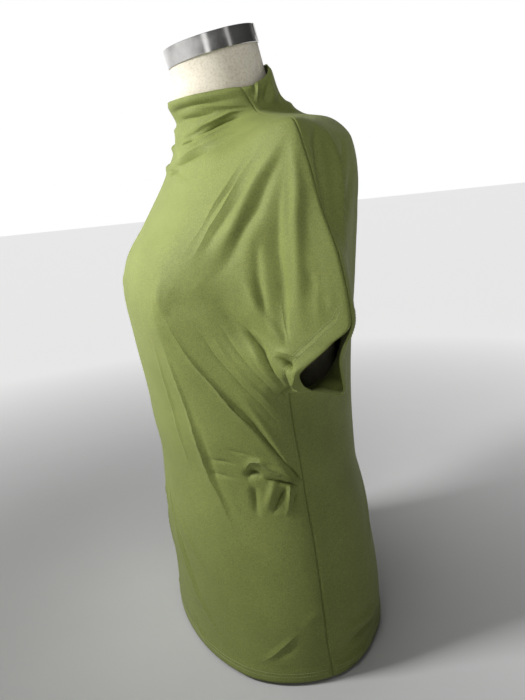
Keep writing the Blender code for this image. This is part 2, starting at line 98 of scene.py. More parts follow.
# The blouse from hem to neck, in millimetres. Each row is one section across both panels: from the centre
# line, through a side point, to the seam.
# rows: steps up to the next section. seam: where front meets back, or the middle of the cuff's opening.
# cuff: from the middle of the opening to the back's edge. turn: degrees between the section's end and X.
# level: per cent of the way out from where the section leaves its middle height for the seam's.
SECTION_COLUMNS = (
    "rows", "seam_x", "seam_y", "seam_z", "cuff_y", "cuff_z", "turn", "level",
    "front_y", "front_z", "front_side_x", "front_side_y",
    "back_y", "back_z", "back_side_x", "back_side_y",
)
SECTIONS = {
    "hem": (2, 181, 2, 5, 0, 0, 90, 55, -117, 4, 134, -85, 128, 6, 134, 81),
    "hip": (3, 179, -2, 60, 0, 0, 90, 55, -117, 60, 130, -80, 125, 60, 134, 84),
    "high_hip": (5, 166, -1, 136, 0, 0, 90, 55, -121, 136, 122, -80, 119, 136, 125, 80),
    "waist": (7, 153, -4, 225, 0, 0, 90, 55, -119, 225, 114, -77, 108, 225, 116, 71),
    "ribs": (3, 156, -12, 300, 0, 0, 90, 55, -127, 300, 116, -84, 107, 300, 118, 69),
    "armpit": (2, 163, -15, 333, 0, 0, 90, 66, -126.5, 345, 123, -82, 111, 345, 121, 69),
    "lip": (1, 191, -3, 339, 0, 0, 72, 78, -124.5, 360, 125, -80, 112.5, 359, 123, 69),
    "lip_round": (1, 199, -2, 342, 12, -6, 65, 76, -124, 367, 127, -79, 113, 366, 123.5, 69),
    "cuff_low": (2, 204, 2, 348, 21, -14, 60, 74, -123, 374, 128, -78, 113.5, 372, 124, 69),
    "cuff_high": (2, 219, 12, 382, 4, -6, 50, 64, -121, 392, 130, -76, 115, 390, 127, 68),
    "corner": (3, 230, 25, 410, 0, 0, 50, 55, -120, 412, 132, -74, 116.5, 410, 130, 67),
    "upper_arm": (3, 224, 20, 466, 0, 0, 50, 55, -116, 458, 134, -66, 118.5, 460, 132, 71),
    "armhole": (3, 211, 11, 515, 0, 0, 55, 55, -94, 500, 136, -57, 121, 505, 134, 78),
    "shoulder_cap": (3, 198, 6, 560, 0, 0, 60, 55, -78, 538, 134, -44, 130, 545, 132, 83),
    "shoulder_tip": (3, 180, 3, 593, 0, 0, 60, 55, -69, 563, 124, -35, 127, 577, 122, 84),
    "mid_shoulder": (4, 132, 10, 600, 0, 0, 60, 55, -62, 582, 92, -29, 113, 600, 90, 77),
    "neck_base": (3, 68, 9, 613, 0, 0, 75, 55, -61, 598, 52, -38, 86, 611, 52, 56),
    "neck": (3, 60, 4, 626, 0, 0, 90, 30, -58, 611, 45, -39, 57, 634, 46, 42),
    "neck_top": (0, 57, -1, 639, 0, 0, 90, 8, -68, 633, 42, -46, 48, 668, 42, 37),
}
SIDE_TURN = 2.3             # a section's slope at its side point, as a multiple of its chord's slope

# The bust as the cloth spans it, in metres
BUST_X = 0.090
BUST_Z = 0.440
BUST_SPAN_DIP = 0.34        # how much of the swell is lost midway between the two sides
CLOTH_BUST = {"depth": 0.029, "width": 0.040, "rise": 0.118, "fall": 0.147}
FORM_BUST = {"depth": 0.034, "width": 0.042, "rise": 0.105, "fall": 0.090}
BUST_TIP = 0.018            # height over which the cloth rounds over the fullest point
BUST_TIP_SHARE = 0.05       # share of the depth that the rounding takes off

# Creases of each panel. path: per cent of the way to the left seam, minus for the right one, and height in
# millimetres, in turn. Widths and heights are millimetres, and a minus height is a trough. sharp: 2 is round,
# 1 is a taut line. peak: where along it is highest. skew: above 0, wider on the right of its direction.
CREASE_COLUMNS = ("path", "from_width", "to_width", "height", "sharp", "peak", "skew")
CREASE_DEFAULTS = {"peak": 0.5, "skew": 0}
FRONT_CREASES = {
    # Neck, front
    "neck_band_hollow": ((-8, 622, 36, 624, 61, 625, 82, 627, 95, 628), 4, 3, -3.4, 1.8, 0.4),
    "neck_ridge_a": ((26, 621, 49, 622, 74, 620, 96, 619), 2.4, 2, 2.3, 1.5),
    "neck_facet": ((14, 613, 37, 613, 54, 614, 66, 616), 3, 2.4, -3.7, 1.7, 0.4),
    "neck_ridge_b": ((15, 594, 32, 596, 48, 602, 64, 608, 82, 614, 94, 614), 2.2, 2, 3, 1.4),
    "neck_trough_b": ((37, 592, 51, 597, 66, 603, 80, 607, 89, 608), 2, 1.8, -3.2, 1.6),
    "neck_ridge_c": ((13, 580, 26, 583, 44, 588, 62, 595, 76, 601, 85, 603), 2.2, 2, 2.3, 1.5, 0.4),
    "neck_trough_c": ((9, 586, 21, 588, 36, 590), 1.8, 1.6, -2.1, 1.6),
    "neck_long_ridge": ((5, 571, 21, 574, 38, 579, 52, 584, 65, 588, 72, 590), 2.6, 2.2, 3.7, 1.3, 0.35),
    "neck_long_trough": ((-8, 564, 12, 567, 29, 571, 45, 576, 58, 581, 69, 587), 3, 2, -4.6, 1.6, 0.3),
    "neck_pocket": ((-14, 561, 2, 559, 17, 559), 3, 2.6, -5.1, 1.8, 0.4),
    "neck_low_ridge": ((3, 554, 17, 550, 32, 544), 3, 3, 2.3, 1.6, 0.4),
    "neck_right_under_edge": ((-20, 612, -48, 616, -78, 617, -96, 620), 4, 4, -3.9, 2),
    "neck_right_upper": ((-8, 603, -36, 606, -66, 611, -90, 613), 4, 4, 4.5, 1.7, 0.4),
    "neck_right_facet": ((-14, 592, -40, 596, -70, 604, -88, 609), 3.4, 4, -6, 1.6, 0.4, 0.3),
    "neck_right_ridge": ((-16, 583, -42, 588, -66, 596, -84, 602), 3.6, 4.5, 5.4, 1.5, 0.35),
    "neck_right_trough": ((-22, 572, -44, 577, -64, 584, -80, 591), 3.4, 5, -5.4, 1.6, 0.35),
    "neck_right_low_ridge": ((-24, 562, -42, 566, -62, 573, -76, 580), 3.6, 5, 4.5, 1.5, 0.4),
    # Bust, wearer's left
    "bust_taut_a": ((78, 574, 70, 561, 62, 543, 55, 524, 50, 501, 46, 485, 44, 473), 2.2, 2, 2.2, 1.2, 0.45),
    "bust_between_a": ((74, 561, 64, 541, 56, 520, 51, 498), 1.8, 1.8, -1.4, 1.6),
    "bust_taut_b": (
        (83, 572, 74, 558, 65, 538, 59, 519, 53, 499, 49, 480, 46, 466), 2.2, 2.4, 3.1, 1.2, 0.45,
    ),
    "bust_between_b": ((76, 547, 66, 525, 59, 505, 54, 489, 50, 472), 3.4, 3, -2.6, 1.8),
    "bust_taut_c": ((94, 581, 85, 561, 76, 542, 69, 520, 63, 500, 58, 485, 55, 468), 5, 6, 5.9, 1.5),
    "bust_shade_c": (
        (93, 573, 86, 554, 80, 538, 74, 516, 67, 498, 62, 478, 57, 462, 53, 448), 5, 7, -4.4, 1.8,
    ),
    "bust_corner": ((38, 456, 36, 446, 36, 439, 37, 427, 39, 417), 4, 4, 2.4, 1.3),
    "bust_patch": ((39, 436, 43, 430, 47, 425, 53, 424), 12, 10, -2.0, 1.9, 0.35),
    "bust_edge": (
        (38, 423, 40, 405, 45, 386, 53, 364, 63, 341, 71, 318, 79, 297, 85, 275, 90, 257, 95, 240, 98, 228),
        2.2, 1.7, 5.2, 1.1, 0.55, 0.3,
    ),
    "bust_edge_shade": ((67, 331, 76, 311, 83, 286, 89, 264, 94, 245, 98, 228), 3, 2.2, -5, 1.5, 0.6),
    "bust_edge_ridge": ((72, 339, 81, 314, 87, 290, 92, 264, 95, 245, 98, 231), 3.2, 2.4, 3.6, 1.6, 0.6),
    "bust_side": ((49, 448, 56, 425, 64, 403, 76, 386, 86, 374), 13, 9, -7, 1.9, 0.6),
    "arm_slit": ((62, 413, 68, 395, 79, 377, 86, 361, 93, 340), 2.4, 2, -5.4, 1.4, 0.5, -0.2),
    "arm_ridge": ((56, 434, 61, 417, 66, 402, 76, 388, 84, 375), 3, 2.4, 2.7, 1.6),
    "arm_low_ridge": ((57, 419, 64, 399, 76, 377, 86, 355, 94, 332), 3, 2.6, 2.7, 1.6),
    "arm_drag_a": ((51, 421, 60, 394, 76, 364, 90, 336, 98, 311), 2.2, 2, -1.7, 1.5),
    "arm_drag_b": ((49, 411, 61, 381, 76, 352, 88, 326, 97, 297), 2.2, 2, 1.7, 1.5),
    "arm_drag_c": ((46, 411, 58, 378, 74, 345, 87, 316, 97, 281), 2.4, 2, -1.7, 1.5),
    # Sleeve, wearer's left
    "sleeve_ridge": ((98, 582, 95, 558, 93, 529, 90, 506, 86, 469, 84, 431, 86, 398), 5, 6, 5.8, 1.6, 0.35),
    "sleeve_valley": (
        (91, 569, 87, 540, 82, 504, 78, 467, 78, 430, 83, 392, 88, 376), 9, 9, -8, 1.7, 0.55, 0.4,
    ),
    "sleeve_inner_shade": ((92, 567, 90, 539, 87, 509, 83, 482), 3, 3, -2, 1.7),
    "sleeve_shade": ((74, 494, 70, 473, 69, 449, 70, 425, 74, 406, 80, 394), 6, 4, -4.8, 1.8),
    "sleeve_low_ridge": ((63, 461, 65, 447, 68, 426, 74, 407, 82, 391, 88, 381), 5, 3, 4.2, 1.7, 0.6),
    "sleeve_line": ((76, 431, 78, 413, 84, 392, 88, 382), 1.6, 1.5, 1.5, 1.3),
    "sleeve_line_outer": ((80, 431, 82, 406, 86, 390), 1.6, 1.5, 1.5, 1.3),
    "sleeve_dent": ((89, 464, 89, 445, 88, 426), 5, 5, -1.8, 1.8),
    "sleeve_dent_low": ((92, 439, 92, 422), 4, 4, -1.2, 1.8),
    "sleeve_bump": ((90, 434, 91, 410), 4, 4, 0.9, 1.7),
    # Underarm, wearer's left
    "pit": ((84, 375, 88, 373, 91, 371, 95, 367), 3, 3.4, -8.6, 1.8, 0.65),
    "pit_low": ((88, 370, 92, 368, 97, 364), 3, 2.6, -6.2, 1.7, 0.6),
    "pit_slit": ((93, 366, 93, 356, 94, 340, 99, 324), 1.8, 1.5, -4.1, 1.5, 0.35),
    "pit_strip": ((98, 369, 98, 359, 95, 347, 100, 327), 2.4, 2.2, 2.9, 1.6, 0.4),
    "pit_brow": ((82, 382, 87, 380, 93, 376), 2.6, 2.4, 2.6, 1.6, 0.6),
    # Front, below the bust
    "drag_inner": (
        (35, 393, 40, 363, 43, 333, 45, 301, 47, 268, 49, 234, 54, 211, 58, 189, 62, 167),
        2.4, 3.4, 3.3, 1.2, 0.5, 0.4,
    ),
    "drag_inner_shade": ((49, 301, 51, 265, 53, 231, 58, 205, 63, 185), 3.4, 5, -2.4, 1.8),
    "drag_outer": ((26, 398, 29, 370, 31, 328, 32, 293, 34, 258, 36, 228), 1.8, 2, 1.8, 1.2),
    "drag_low_a": ((4, 188, 15, 163, 26, 143, 33, 123, 39, 109), 2, 2.4, 2.1, 1.2),
    "drag_low_b": ((-2, 163, 8, 140, 16, 103, 24, 72, 36, 46, 47, 24), 2.2, 2.6, 2.4, 1.2),
    "drag_low_c": ((-2, 208, 3, 179, 10, 146, 17, 115), 1.7, 1.8, 1.7, 1.3),
    "drag_low_shade": ((5, 160, 14, 131, 21, 97, 30, 66), 2.6, 3, -2.4, 1.8),
    "drag_hem": ((9, 35, 19, 21, 31, 7), 2, 2.4, 1.7, 1.3),
    # Gathers at the waist
    "cross_a": ((63, 268, 70, 266, 78, 261), 1.6, 1.6, -1.2, 1.5),
    "cross_b": ((49, 254, 59, 254, 68, 252), 1.8, 1.6, -1.6, 1.5),
    "cross_c": ((46, 234, 56, 237, 66, 234), 1.8, 1.6, -1.6, 1.5),
    "gather_brow": (
        (71, 237, 72, 247, 76, 256, 80, 256, 83, 250, 87, 245, 92, 237, 98, 228), 2.6, 1.6, 4.6, 1.4,
    ),
    "gather_pocket": ((71, 234, 74, 242, 76, 242, 80, 237), 4, 2.6, -9, 1.8, 0.4),
    "gather_slit": ((79, 237, 83, 234, 88, 231, 93, 228, 98, 223), 1.8, 1.5, -6.5, 1.4, 0.6),
    "gather_tongue": ((83, 247, 88, 242, 93, 234, 98, 228), 2, 1.5, 4.2, 1.4, 0.65),
    "gather_shade": ((74, 228, 74, 215, 74, 200, 76, 191), 4, 3, -4.5, 1.8, 0.35),
    "gather_ridge": ((86, 234, 84, 223, 81, 208, 79, 198), 3, 3.4, 4.8, 1.6, 0.4),
    "gather_low_slit": ((91, 225, 88, 215, 85, 205, 82, 194), 2.2, 2.6, -4.9, 1.6, 0.35),
    "gather_last_ridge": ((93, 228, 92, 216, 90, 200, 88, 192), 2, 2.6, 4.6, 1.5, 0.35),
    "gather_last_trough": ((96, 220, 94, 208, 92, 197), 1.8, 2.2, -2.5, 1.7, 0.4),
    "gather_above": ((93, 255, 95, 245, 97, 237, 99, 228), 1.8, 1.5, -5, 1.5, 0.65),
    "gather_line": ((86, 262, 90, 247, 94, 234, 98, 228), 1.5, 1.4, 2.6, 1.2, 0.6),
    # Hem, front
    "hem_slant": ((67, 24, 74, 36, 81, 51, 88, 66), 2.2, 2.2, 2.8, 1.2),
    "hem_slant_shade": ((74, 30, 81, 41, 89, 57), 3.2, 3.4, -1.7, 1.8),
    "hem_slant_upper": ((89, 70, 94, 79, 99, 88), 3.4, 3.4, 1.3, 1.6),
}
BACK_CREASES = {
    # Back of the left shoulder and sleeve
    "fold_ridge": ((78, 586, 81, 563, 84, 540, 87, 516, 90, 492, 94, 466), 5.6, 4.6, 12, 1.6, 0.4),
    "fold_edge": ((76, 566, 80, 540, 85, 516, 89, 492), 1.8, 1.6, 2.6, 1.2),
    "fold_trough": ((87, 588, 91, 568, 94, 545, 96, 515, 98, 480), 5.4, 4.4, -14, 1.7, 0.4),
    "fold_outer": ((64, 576, 68, 554, 72, 528, 77, 500, 84, 470), 6, 6, -8, 1.7, 0.4),
    "arm_ridge": ((66, 572, 72, 528, 77, 480, 84, 432), 7, 8, 4.7, 1.8, 0.45),
    "arm_trough": ((58, 560, 64, 510, 70, 462, 78, 410), 9, 10, -4.7, 1.9),
    "cuff_fold": ((92, 440, 88, 412, 86, 388), 5, 5, -3.1, 1.8),
    "underarm_a": ((80, 382, 89, 377, 97, 370), 2.6, 2.2, -3.1, 1.6, 0.6),
    "underarm_b": ((76, 396, 86, 388, 95, 380), 3, 2.4, -2.6, 1.7),
    "arm_drag": ((97, 352, 88, 336, 72, 330), 4, 7, -2.9, 1.8, 0.3),
    # Back of the right shoulder and sleeve
    "right_trough": ((-94, 582, -96, 552, -96, 522, -98, 492), 4.5, 3.4, -9.1, 1.7, 0.4),
    "right_ridge": ((-88, 580, -90, 550, -92, 520, -96, 486), 4.5, 3.6, 6.5, 1.6, 0.4, -0.3),
    "right_shade": ((-78, 576, -82, 536, -86, 496, -91, 456), 7, 8, -7.8, 1.8, 0.45),
    "right_arm_ridge": ((-68, 568, -74, 520, -80, 470, -85, 430), 8, 8, 4.9, 1.8),
    "right_arm_trough": ((-60, 548, -66, 496, -73, 446, -80, 402), 9, 10, -4.2, 1.9),
    "right_underarm": ((-78, 390, -88, 381, -97, 372), 3, 2.4, -3.1, 1.6, 0.6),
    "right_drag": ((-97, 350, -86, 330, -70, 322), 4, 7, -2.9, 1.8, 0.3),
    # Back, neck
    "neck_hollow": ((56, 646, 65, 638, 74, 630, 85, 622), 4, 4, -4.6, 1.8),
    "neck_ridge": ((74, 645, 81, 638, 88, 628, 94, 620), 1.8, 1.6, 3, 1.3),
    "neck_hollow_inner": ((78, 645, 84, 638, 90, 629), 2.4, 2.2, -3, 1.6),
    "neck_ridge_inner": ((56, 645, 62, 637, 69, 627, 78, 620), 4.5, 4.5, 5, 1.7),
    "neck_low": ((40, 634, 53, 626, 60, 620), 2.6, 2.2, -3.6, 1.6),
    "neck_fold": ((40, 628, 0, 633, -44, 628), 5, 5, -3.9, 1.8),
    "neck_roll": ((56, 620, 0, 622, -54, 620), 5, 5, 3.4, 1.8),
    "neck_right_hollow": ((-93, 623, -84, 636, -74, 650), 5, 6, -3.4, 1.8),
    "neck_right_ridge": ((-84, 622, -72, 636, -62, 652), 4, 5, 4.9, 1.6, 0.6),
    # Back, body
    "blade_left": ((52, 556, 44, 500, 40, 430, 44, 360), 10, 14, 3.9, 1.9, 0.4),
    "blade_right": ((-50, 552, -42, 492, -36, 420, -42, 352), 10, 14, 3.6, 1.9, 0.45),
    "spine": ((4, 540, 0, 440, -4, 330, 2, 240), 14, 16, -4.4, 2, 0.6),
    "waist_fold_right": ((-95, 254, -72, 240, -42, 236, -14, 226), 5, 8, -1.8, 1.8, 0.4),
    "waist_ridge_right": ((-95, 238, -70, 224, -40, 220, -12, 212), 5, 8, 1.6, 1.8, 0.4),
    "low_drag": ((30, 214, 44, 160, 62, 100), 6, 7, 2.1, 1.7, 0.4),
    "low_drag_right": ((-26, 206, -38, 150, -52, 84), 6, 7, 2.1, 1.7, 0.4),
    "hip_ridge": ((95, 42, 84, 52, 62, 46, 48, 34), 4, 5, 4.7, 1.5, 0.4),
    "hip_shade": ((95, 28, 82, 36, 60, 30), 4.5, 5, -3.4, 1.8, 0.45),
    "hip_low_ridge": ((96, 14, 84, 14, 66, 8), 4, 5, 3.4, 1.6, 0.4),
    "hem_right": ((-60, 18, -74, 40, -88, 60), 4, 5, 2.9, 1.6),
}
CREASES = {"front": FRONT_CREASES, "back": BACK_CREASES}

# The right front has the left front's creases, each group moved by (per cent across, millimetres up) and
# scaled in height
MIRRORED = {
    "bust": (2, -3, 0.95),
    "arm": (-2, 4, 0.9),
    "sleeve": (1, -5, 1.0),
    "pit": (0, 2, 0.85),
    "drag": (-3, 6, 0.85),
    "gather": (1, 6, 0.7),
    "hem": (-4, 5, 0.8),
}
CREASE_STEPS = 26
SHARE_LENGTH = 3            # millimetres that one per cent across is taken for along a path
CREASE_HOLD = 0.6           # below 1, a crease keeps its height over more of its length
CREASE_REACH = 3.2          # widths that a crease is worked out to

# A narrow crease has a taut line along its crest, finer than the mesh
TAUT_WIDTH = 2.8            # millimetres: creases up to this wide at their start have one
TAUT_SHARE = 0.30           # of the crease's height
TAUT_SPREAD = 0.0008        # metres over which the line falls off
TAUT_REACH = 0.009          # metres that it is worked out to
TAUT_LAYERS = 8             # creases that come near each other lie in different layers

# The dress form from foot to neck, in millimetres. slope: how much a ring climbs towards the back.
FORM_COLUMNS = ("half_width", "middle_y", "z", "slope", "front_y", "front_round", "back_y", "back_round")
FORM_SECTIONS = {
    "foot_edge": (158, 8, 0, 0.0, -92, 2.1, 102, 2.1),
    "foot": (166, 8, 7, 0.0, -100, 2.1, 110, 2.1),
    "hip": (168, 7, 50, 0.0, -104, 2.1, 114, 2.1),
    "high_hip": (152, 2, 136, 0.0, -103, 2.1, 102, 2.1),
    "waist": (128, -2, 225, 0.0, -90, 2.1, 84, 2.1),
    "ribs": (132, -4, 310, 0.0, -96, 2.1, 92, 2.1),
    "bust": (142, -2, 420, 0.0, -99, 2.1, 104, 2.1),
    "chest": (150, 2, 490, 0.0, -88, 2.0, 116, 2.0),
    "upper_chest": (158, 6, 540, 0.0, -70, 1.8, 122, 1.9),
    "shoulder_front": (158, 8, 568, 0.0, -57, 1.4, 118, 1.8),
    "shoulder_round": (156, 9, 585, 0.0, -53, 1.2, 106, 1.7),
    "shoulder_end": (147, 9, 594, 0.0, -48, 1.05, 102, 1.6),
    "shoulder_outer": (132, 9.5, 598.8, 0.0, -44, 1.0, 94, 1.5),
    "shoulder": (115, 9.5, 601.6, 0.0, -44, 1.0, 88, 1.4),
    "shoulder_inner": (100, 9.5, 604.2, 0.0, -44, 1.0, 82, 1.3),
    "neck_side": (85, 9, 606.9, 0.0, -44, 1.0, 75, 1.3),
    "neck_root": (68, 8, 611.2, 0.0, -45, 1.2, 62, 1.5),
    "neck_base": (53, 2, 618, 0.03, -50, 1.9, 53, 1.9),
    "neck": (52, -5, 646, 0.12, -59, 2.0, 47, 2.0),
}
FORM_QUARTER = 30
FORM_RING_SPACING = 0.011

# The neck's top, its steel band and its cap, in metres
NECK_TOP = (0.0, -0.0147, 0.6982)
NECK_TILT = math.radians(11.9)
NECK_RADIUS = 0.0508
BAND_HEIGHT = 0.0193
BAND_THICKNESS = 0.0010
BAND_FIT = 0.0003
BAND_LAP_THICKNESS = 0.0008
BAND_LAP_ANGLE = math.radians(52)      # of the lap's end, round from +X towards the back
BAND_LAP_WIDTH = math.radians(24)
CAP_SINK = 0.0020
CAP_THICKNESS = 0.0030
NECK_RING_DROPS = (
    BAND_HEIGHT + 0.020, BAND_HEIGHT + 0.006, BAND_HEIGHT, 0.012, CAP_SINK + CAP_THICKNESS + BAND_FIT,
)
BAND_STEPS = 160
BAND_EDGE = 0.00035         # rounding of the strip's edges
BAND_UV_STEP = 0.003        # between the strip's corner lines in its cloth coordinates
SHARP_EDGE = math.radians(40)

# The cover's seam up the left of the neck
NECK_SEAM_ANGLE = math.radians(44)
NECK_SEAM_LEAN = math.radians(-3)
NECK_SEAM_LENGTH = 0.034
NECK_SEAM_POINTS = 15
NECK_SEAM_LIFT = 0.0002
NECK_SEAM_GAP = 0.0003
NECK_SEAM_RADIUS = 0.00045

# Colours, as linear red, green and blue
JERSEY = (0.200, 0.236, 0.063)
JERSEY_SHADE = (0.186, 0.220, 0.058)
JERSEY_LIGHT = (0.215, 0.252, 0.069)
JERSEY_FLECKS = ((0.34, (0.76, 0.77, 0.74)), (0.5, (0.99, 0.99, 0.98)), (0.68, (1.22, 1.18, 1.08)))
THREAD = (0.44, 0.48, 0.22)
THREAD_SHADE = (0.28, 0.32, 0.12)
LINEN = (0.80, 0.75, 0.63)
LINEN_SHADE = (0.73, 0.67, 0.55)
LINEN_FLECKS = ((0.32, (0.80, 0.77, 0.70)), (0.52, (1, 1, 1)), (0.7, (1.05, 1.05, 1.04)))
STEEL = (0.80, 0.79, 0.77)
STEEL_SHADE = (0.62, 0.61, 0.59)
WOOD = (0.36, 0.25, 0.15)
WOOD_SHADE = (0.16, 0.10, 0.055)
FLOOR = (0.68, 0.68, 0.68)
FLOOR_SHADE = (0.64, 0.64, 0.64)
WALE = 0.00075              # knit and weave periods, in metres
COURSE = 0.00055
WARP = 0.0010
WEFT = 0.0011
WAVE_PERIOD = 0.31416       # a wave texture's period at scale 1

# Lights: azimuth and elevation in degrees, distance and size in metres, watts, and what each is aimed at
LIGHTS = {
    "key_light": (-5, 30, 1.1, 0.30, 2.1, (0, -0.08, 0.46)),
    "side_light": (66, 56, 0.95, 0.4, 0.34, (0.10, -0.02, 0.58)),
}
LIGHT_SPREAD = math.radians(54)

# The surroundings' brightness by heading in degrees: 0 is the front and 90 the wearer's right
STUDIO_GLOW = (
    (0, 0.32), (35, 0.5), (80, 1.0), (131, 1.0), (140, 0.2), (165, 0.04), (238, 0.07), (240, 0.6), (246, 0.6),
    (248, 0.07), (292, 0.07), (295, 1.2), (303, 1.2), (306, 0.07), (325, 0.07), (360, 0.32),
)
OVERHEAD = {"From Min": 0.28, "From Max": 0.5, "To Min": 1.0, "To Max": 0.22}     # dimmer towards the top
FLOOR_HALF = 12.0
# Painted light: the floor's own glow, none at the middle and rising further out, so the floor fades into the
# surroundings
FLOOR_PAINTED_GLOW = {"From Min": 0.15, "From Max": 1.5, "To Max": 0.70}                  # brighter further out


def ease(t):
    """0 to 1 with level ends."""
    t = np.clip(t, 0.0, 1.0)
    return t * t * (3 - 2 * t)


def hermite(start, start_slope, end, end_slope, length, t):
    """The cubic from start to end with the given slopes."""
    return (
        start * (1 + 2 * t) * (1 - t) ** 2
        + start_slope * length * t * (1 - t) ** 2
        + end * t * t * (3 - 2 * t)
        + end_slope * length * t * t * (t - 1)
    )


def monotone_slopes(x, y):
    """Slopes of a cubic through the points that never overshoots them."""
    step = np.diff(x)
    rise = np.diff(y) / step
    slopes = np.zeros(len(x))
    slopes[0], slopes[-1] = rise[0], rise[-1]
    for i in range(1, len(x) - 1):
        before, after = rise[i - 1], rise[i]
        if before * after > 0:
            w_before = 2 * step[i] + step[i - 1]
            w_after = step[i] + 2 * step[i - 1]
            slopes[i] = (w_before + w_after) / (w_before / before + w_after / after)
    return slopes


def smooth_column(x, y, at):
    """The monotone cubic through x, y, read at each value of at."""
    slopes = monotone_slopes(x, y)
    i = np.clip(np.searchsorted(x, at, side="right") - 1, 0, len(x) - 2)
    h = x[i + 1] - x[i]
    return hermite(y[i], slopes[i], y[i + 1], slopes[i + 1], h, (at - x[i]) / h)


def read_table(columns, table, stations, at, plain):
    """Each named column of a table, read at the values of at, in metres but for the plain columns."""
    values = np.array(list(table.values()), float)
    read = {}
    for i, name in enumerate(columns):
        scale = 1.0 if name in plain else MM
        read[name] = smooth_column(stations, values[:, i] * scale, at)
    return read


def bust_swell(x, z, bust):
    """How far the bust pushes a surface forward at x, z: taut at the two points, rounder between them."""
    outside = np.exp(-((np.maximum(np.abs(x) - BUST_X, 0) / bust["width"]) ** 2))
    spanned = 1 - np.minimum(np.abs(x) / BUST_X, 1) ** 2
    inside = 1 - BUST_SPAN_DIP * spanned
    taut = np.clip(1 - (z - BUST_Z) / bust["rise"], 0, 1)
    above = taut + (ease(taut) - taut) * spanned
    below = ease(1 - (BUST_Z - z) / bust["fall"])
    tip = BUST_TIP_SHARE * np.clip(1 - np.abs(z - BUST_Z) / BUST_TIP, 0, 1) ** 2 * (1 - spanned)
    return bust["depth"] * outside * inside * (np.where(z > BUST_Z, above, below) - tip)


def spaced(x, y, shares):
    """Points of a curve at the given shares of its length."""
    length = np.concatenate([[0], np.cumsum(np.hypot(np.diff(x), np.diff(y)))])
    at = np.asarray(shares) * length[-1]
    return np.interp(at, length, x), np.interp(at, length, y)


def quarter_section(centre_y, edge_x, edge_y, roundness, shares):
    """x, y from the centre line to the edge, at the given shares of the way along."""
    phi = np.linspace(0.0, math.pi / 2, ARC_SAMPLES)
    x = edge_x * np.sin(phi) ** (2 / roundness)
    y = edge_y + (centre_y - edge_y) * np.cos(phi) ** (2 / roundness)
    return spaced(x, y, shares)


def half_section(centre_y, side_point, edge, turn, shares):
    """x, y from the centre line through the side point to the edge, at the given shares of the way."""
    start = np.array([0.0, centre_y])
    middle = np.array(side_point)
    end = np.array(edge)
    first = np.linalg.norm(middle - start)
    second = np.linalg.norm(end - middle)
    start_slope = np.array([1.0, 0.0])
    end_slope = np.array([math.cos(turn), math.copysign(math.sin(turn), end[1] - centre_y)])
    chord_angle = math.atan2(middle[1] - start[1], middle[0])
    middle_slope = np.array([math.cos(SIDE_TURN * chord_angle), math.sin(SIDE_TURN * chord_angle)])
    t = np.linspace(0, 1, ARC_SAMPLES // 2)[:, None]
    curve = np.concatenate([
        hermite(start, start_slope, middle, middle_slope, first, t)[:-1],
        hermite(middle, middle_slope, end, end_slope, second, t),
    ])
    return spaced(curve[:, 0], curve[:, 1], shares)


# Cloth surfaces


def row_values():
    """Where the fine rows lie in the table's steps, close together where the cloth folds."""
    names = list(SECTIONS)
    at = [0.0]
    for name, above in zip(names, names[1:]):
        low, high = np.array(SECTIONS[name], float) * MM, np.array(SECTIONS[above], float) * MM
        step = dict(zip(SECTION_COLUMNS, high - low))
        seam = np.linalg.norm([step[column] for column in ("seam_x", "seam_y", "seam_z", "cuff_y")])
        centre = max(np.hypot(step[side + "_y"], step[side + "_z"]) for side in ("front", "back"))
        count = math.ceil(max(seam, centre) / FINE_ROW_SPACING.get(name, ROW_SPACING))
        at += list(at[-1] + SECTIONS[name][0] * np.arange(1, count + 1) / count)
    return np.array(at)


def section_row(name, at):
    """The fine row of a named section."""
    names = list(SECTIONS)
    station = sum(SECTIONS[n][0] for n in names[:names.index(name)])
    return int(np.argmin(np.abs(at - station)))


def base_panel(side):
    """A panel without folds: its grid of points from hem to neck, and its columns' shares of the way out."""
    counts = [row[0] for row in SECTIONS.values()]
    stations = np.concatenate([[0], np.cumsum(counts[:-1])]).astype(float)
    at = row_values()
    read = read_table(SECTION_COLUMNS, SECTIONS, stations, at, ("rows", "turn", "level"))
    right, left = COLUMNS[side]
    shares = {-1: np.linspace(0, 1, right + 1), 1: np.linspace(0, 1, left + 1)}
    away = -1 if side == "front" else 1
    points = np.zeros((len(at), left + right + 1, 3))
    for i in range(len(at)):
        edge_x = read["seam_x"][i]
        edge_y = read["seam_y"][i] + away * (read["cuff_y"][i] + SEAM_GAP / 2)
        edge_z = read["seam_z"][i] + away * read["cuff_z"][i]
        side_point = (read[side + "_side_x"][i], read[side + "_side_y"][i])
        turn = math.radians(read["turn"][i])
        centre_z = read[side + "_z"][i]
        level = read["level"][i] / 100
        halves = {}
        for hand in (-1, 1):
            x, y = half_section(read[side + "_y"][i], side_point, (edge_x, edge_y), turn, shares[hand])
            z = centre_z + (edge_z - centre_z) * ease((shares[hand] - level) / (1 - level))
            halves[hand] = np.stack([x * hand, y, z], -1)
        points[i] = np.concatenate([halves[-1][:0:-1], halves[1]])
    shares = np.concatenate([-shares[-1][:0:-1], shares[1]])
    points = eased_underarm(points, shares, at)
    if side == "front":
        swell = bust_swell(np.abs(points[..., 0]), points[..., 2], CLOTH_BUST)
        points[..., 1] -= swell * ease((1 - np.abs(shares)) / SWELL_SHARE)
    return points, shares


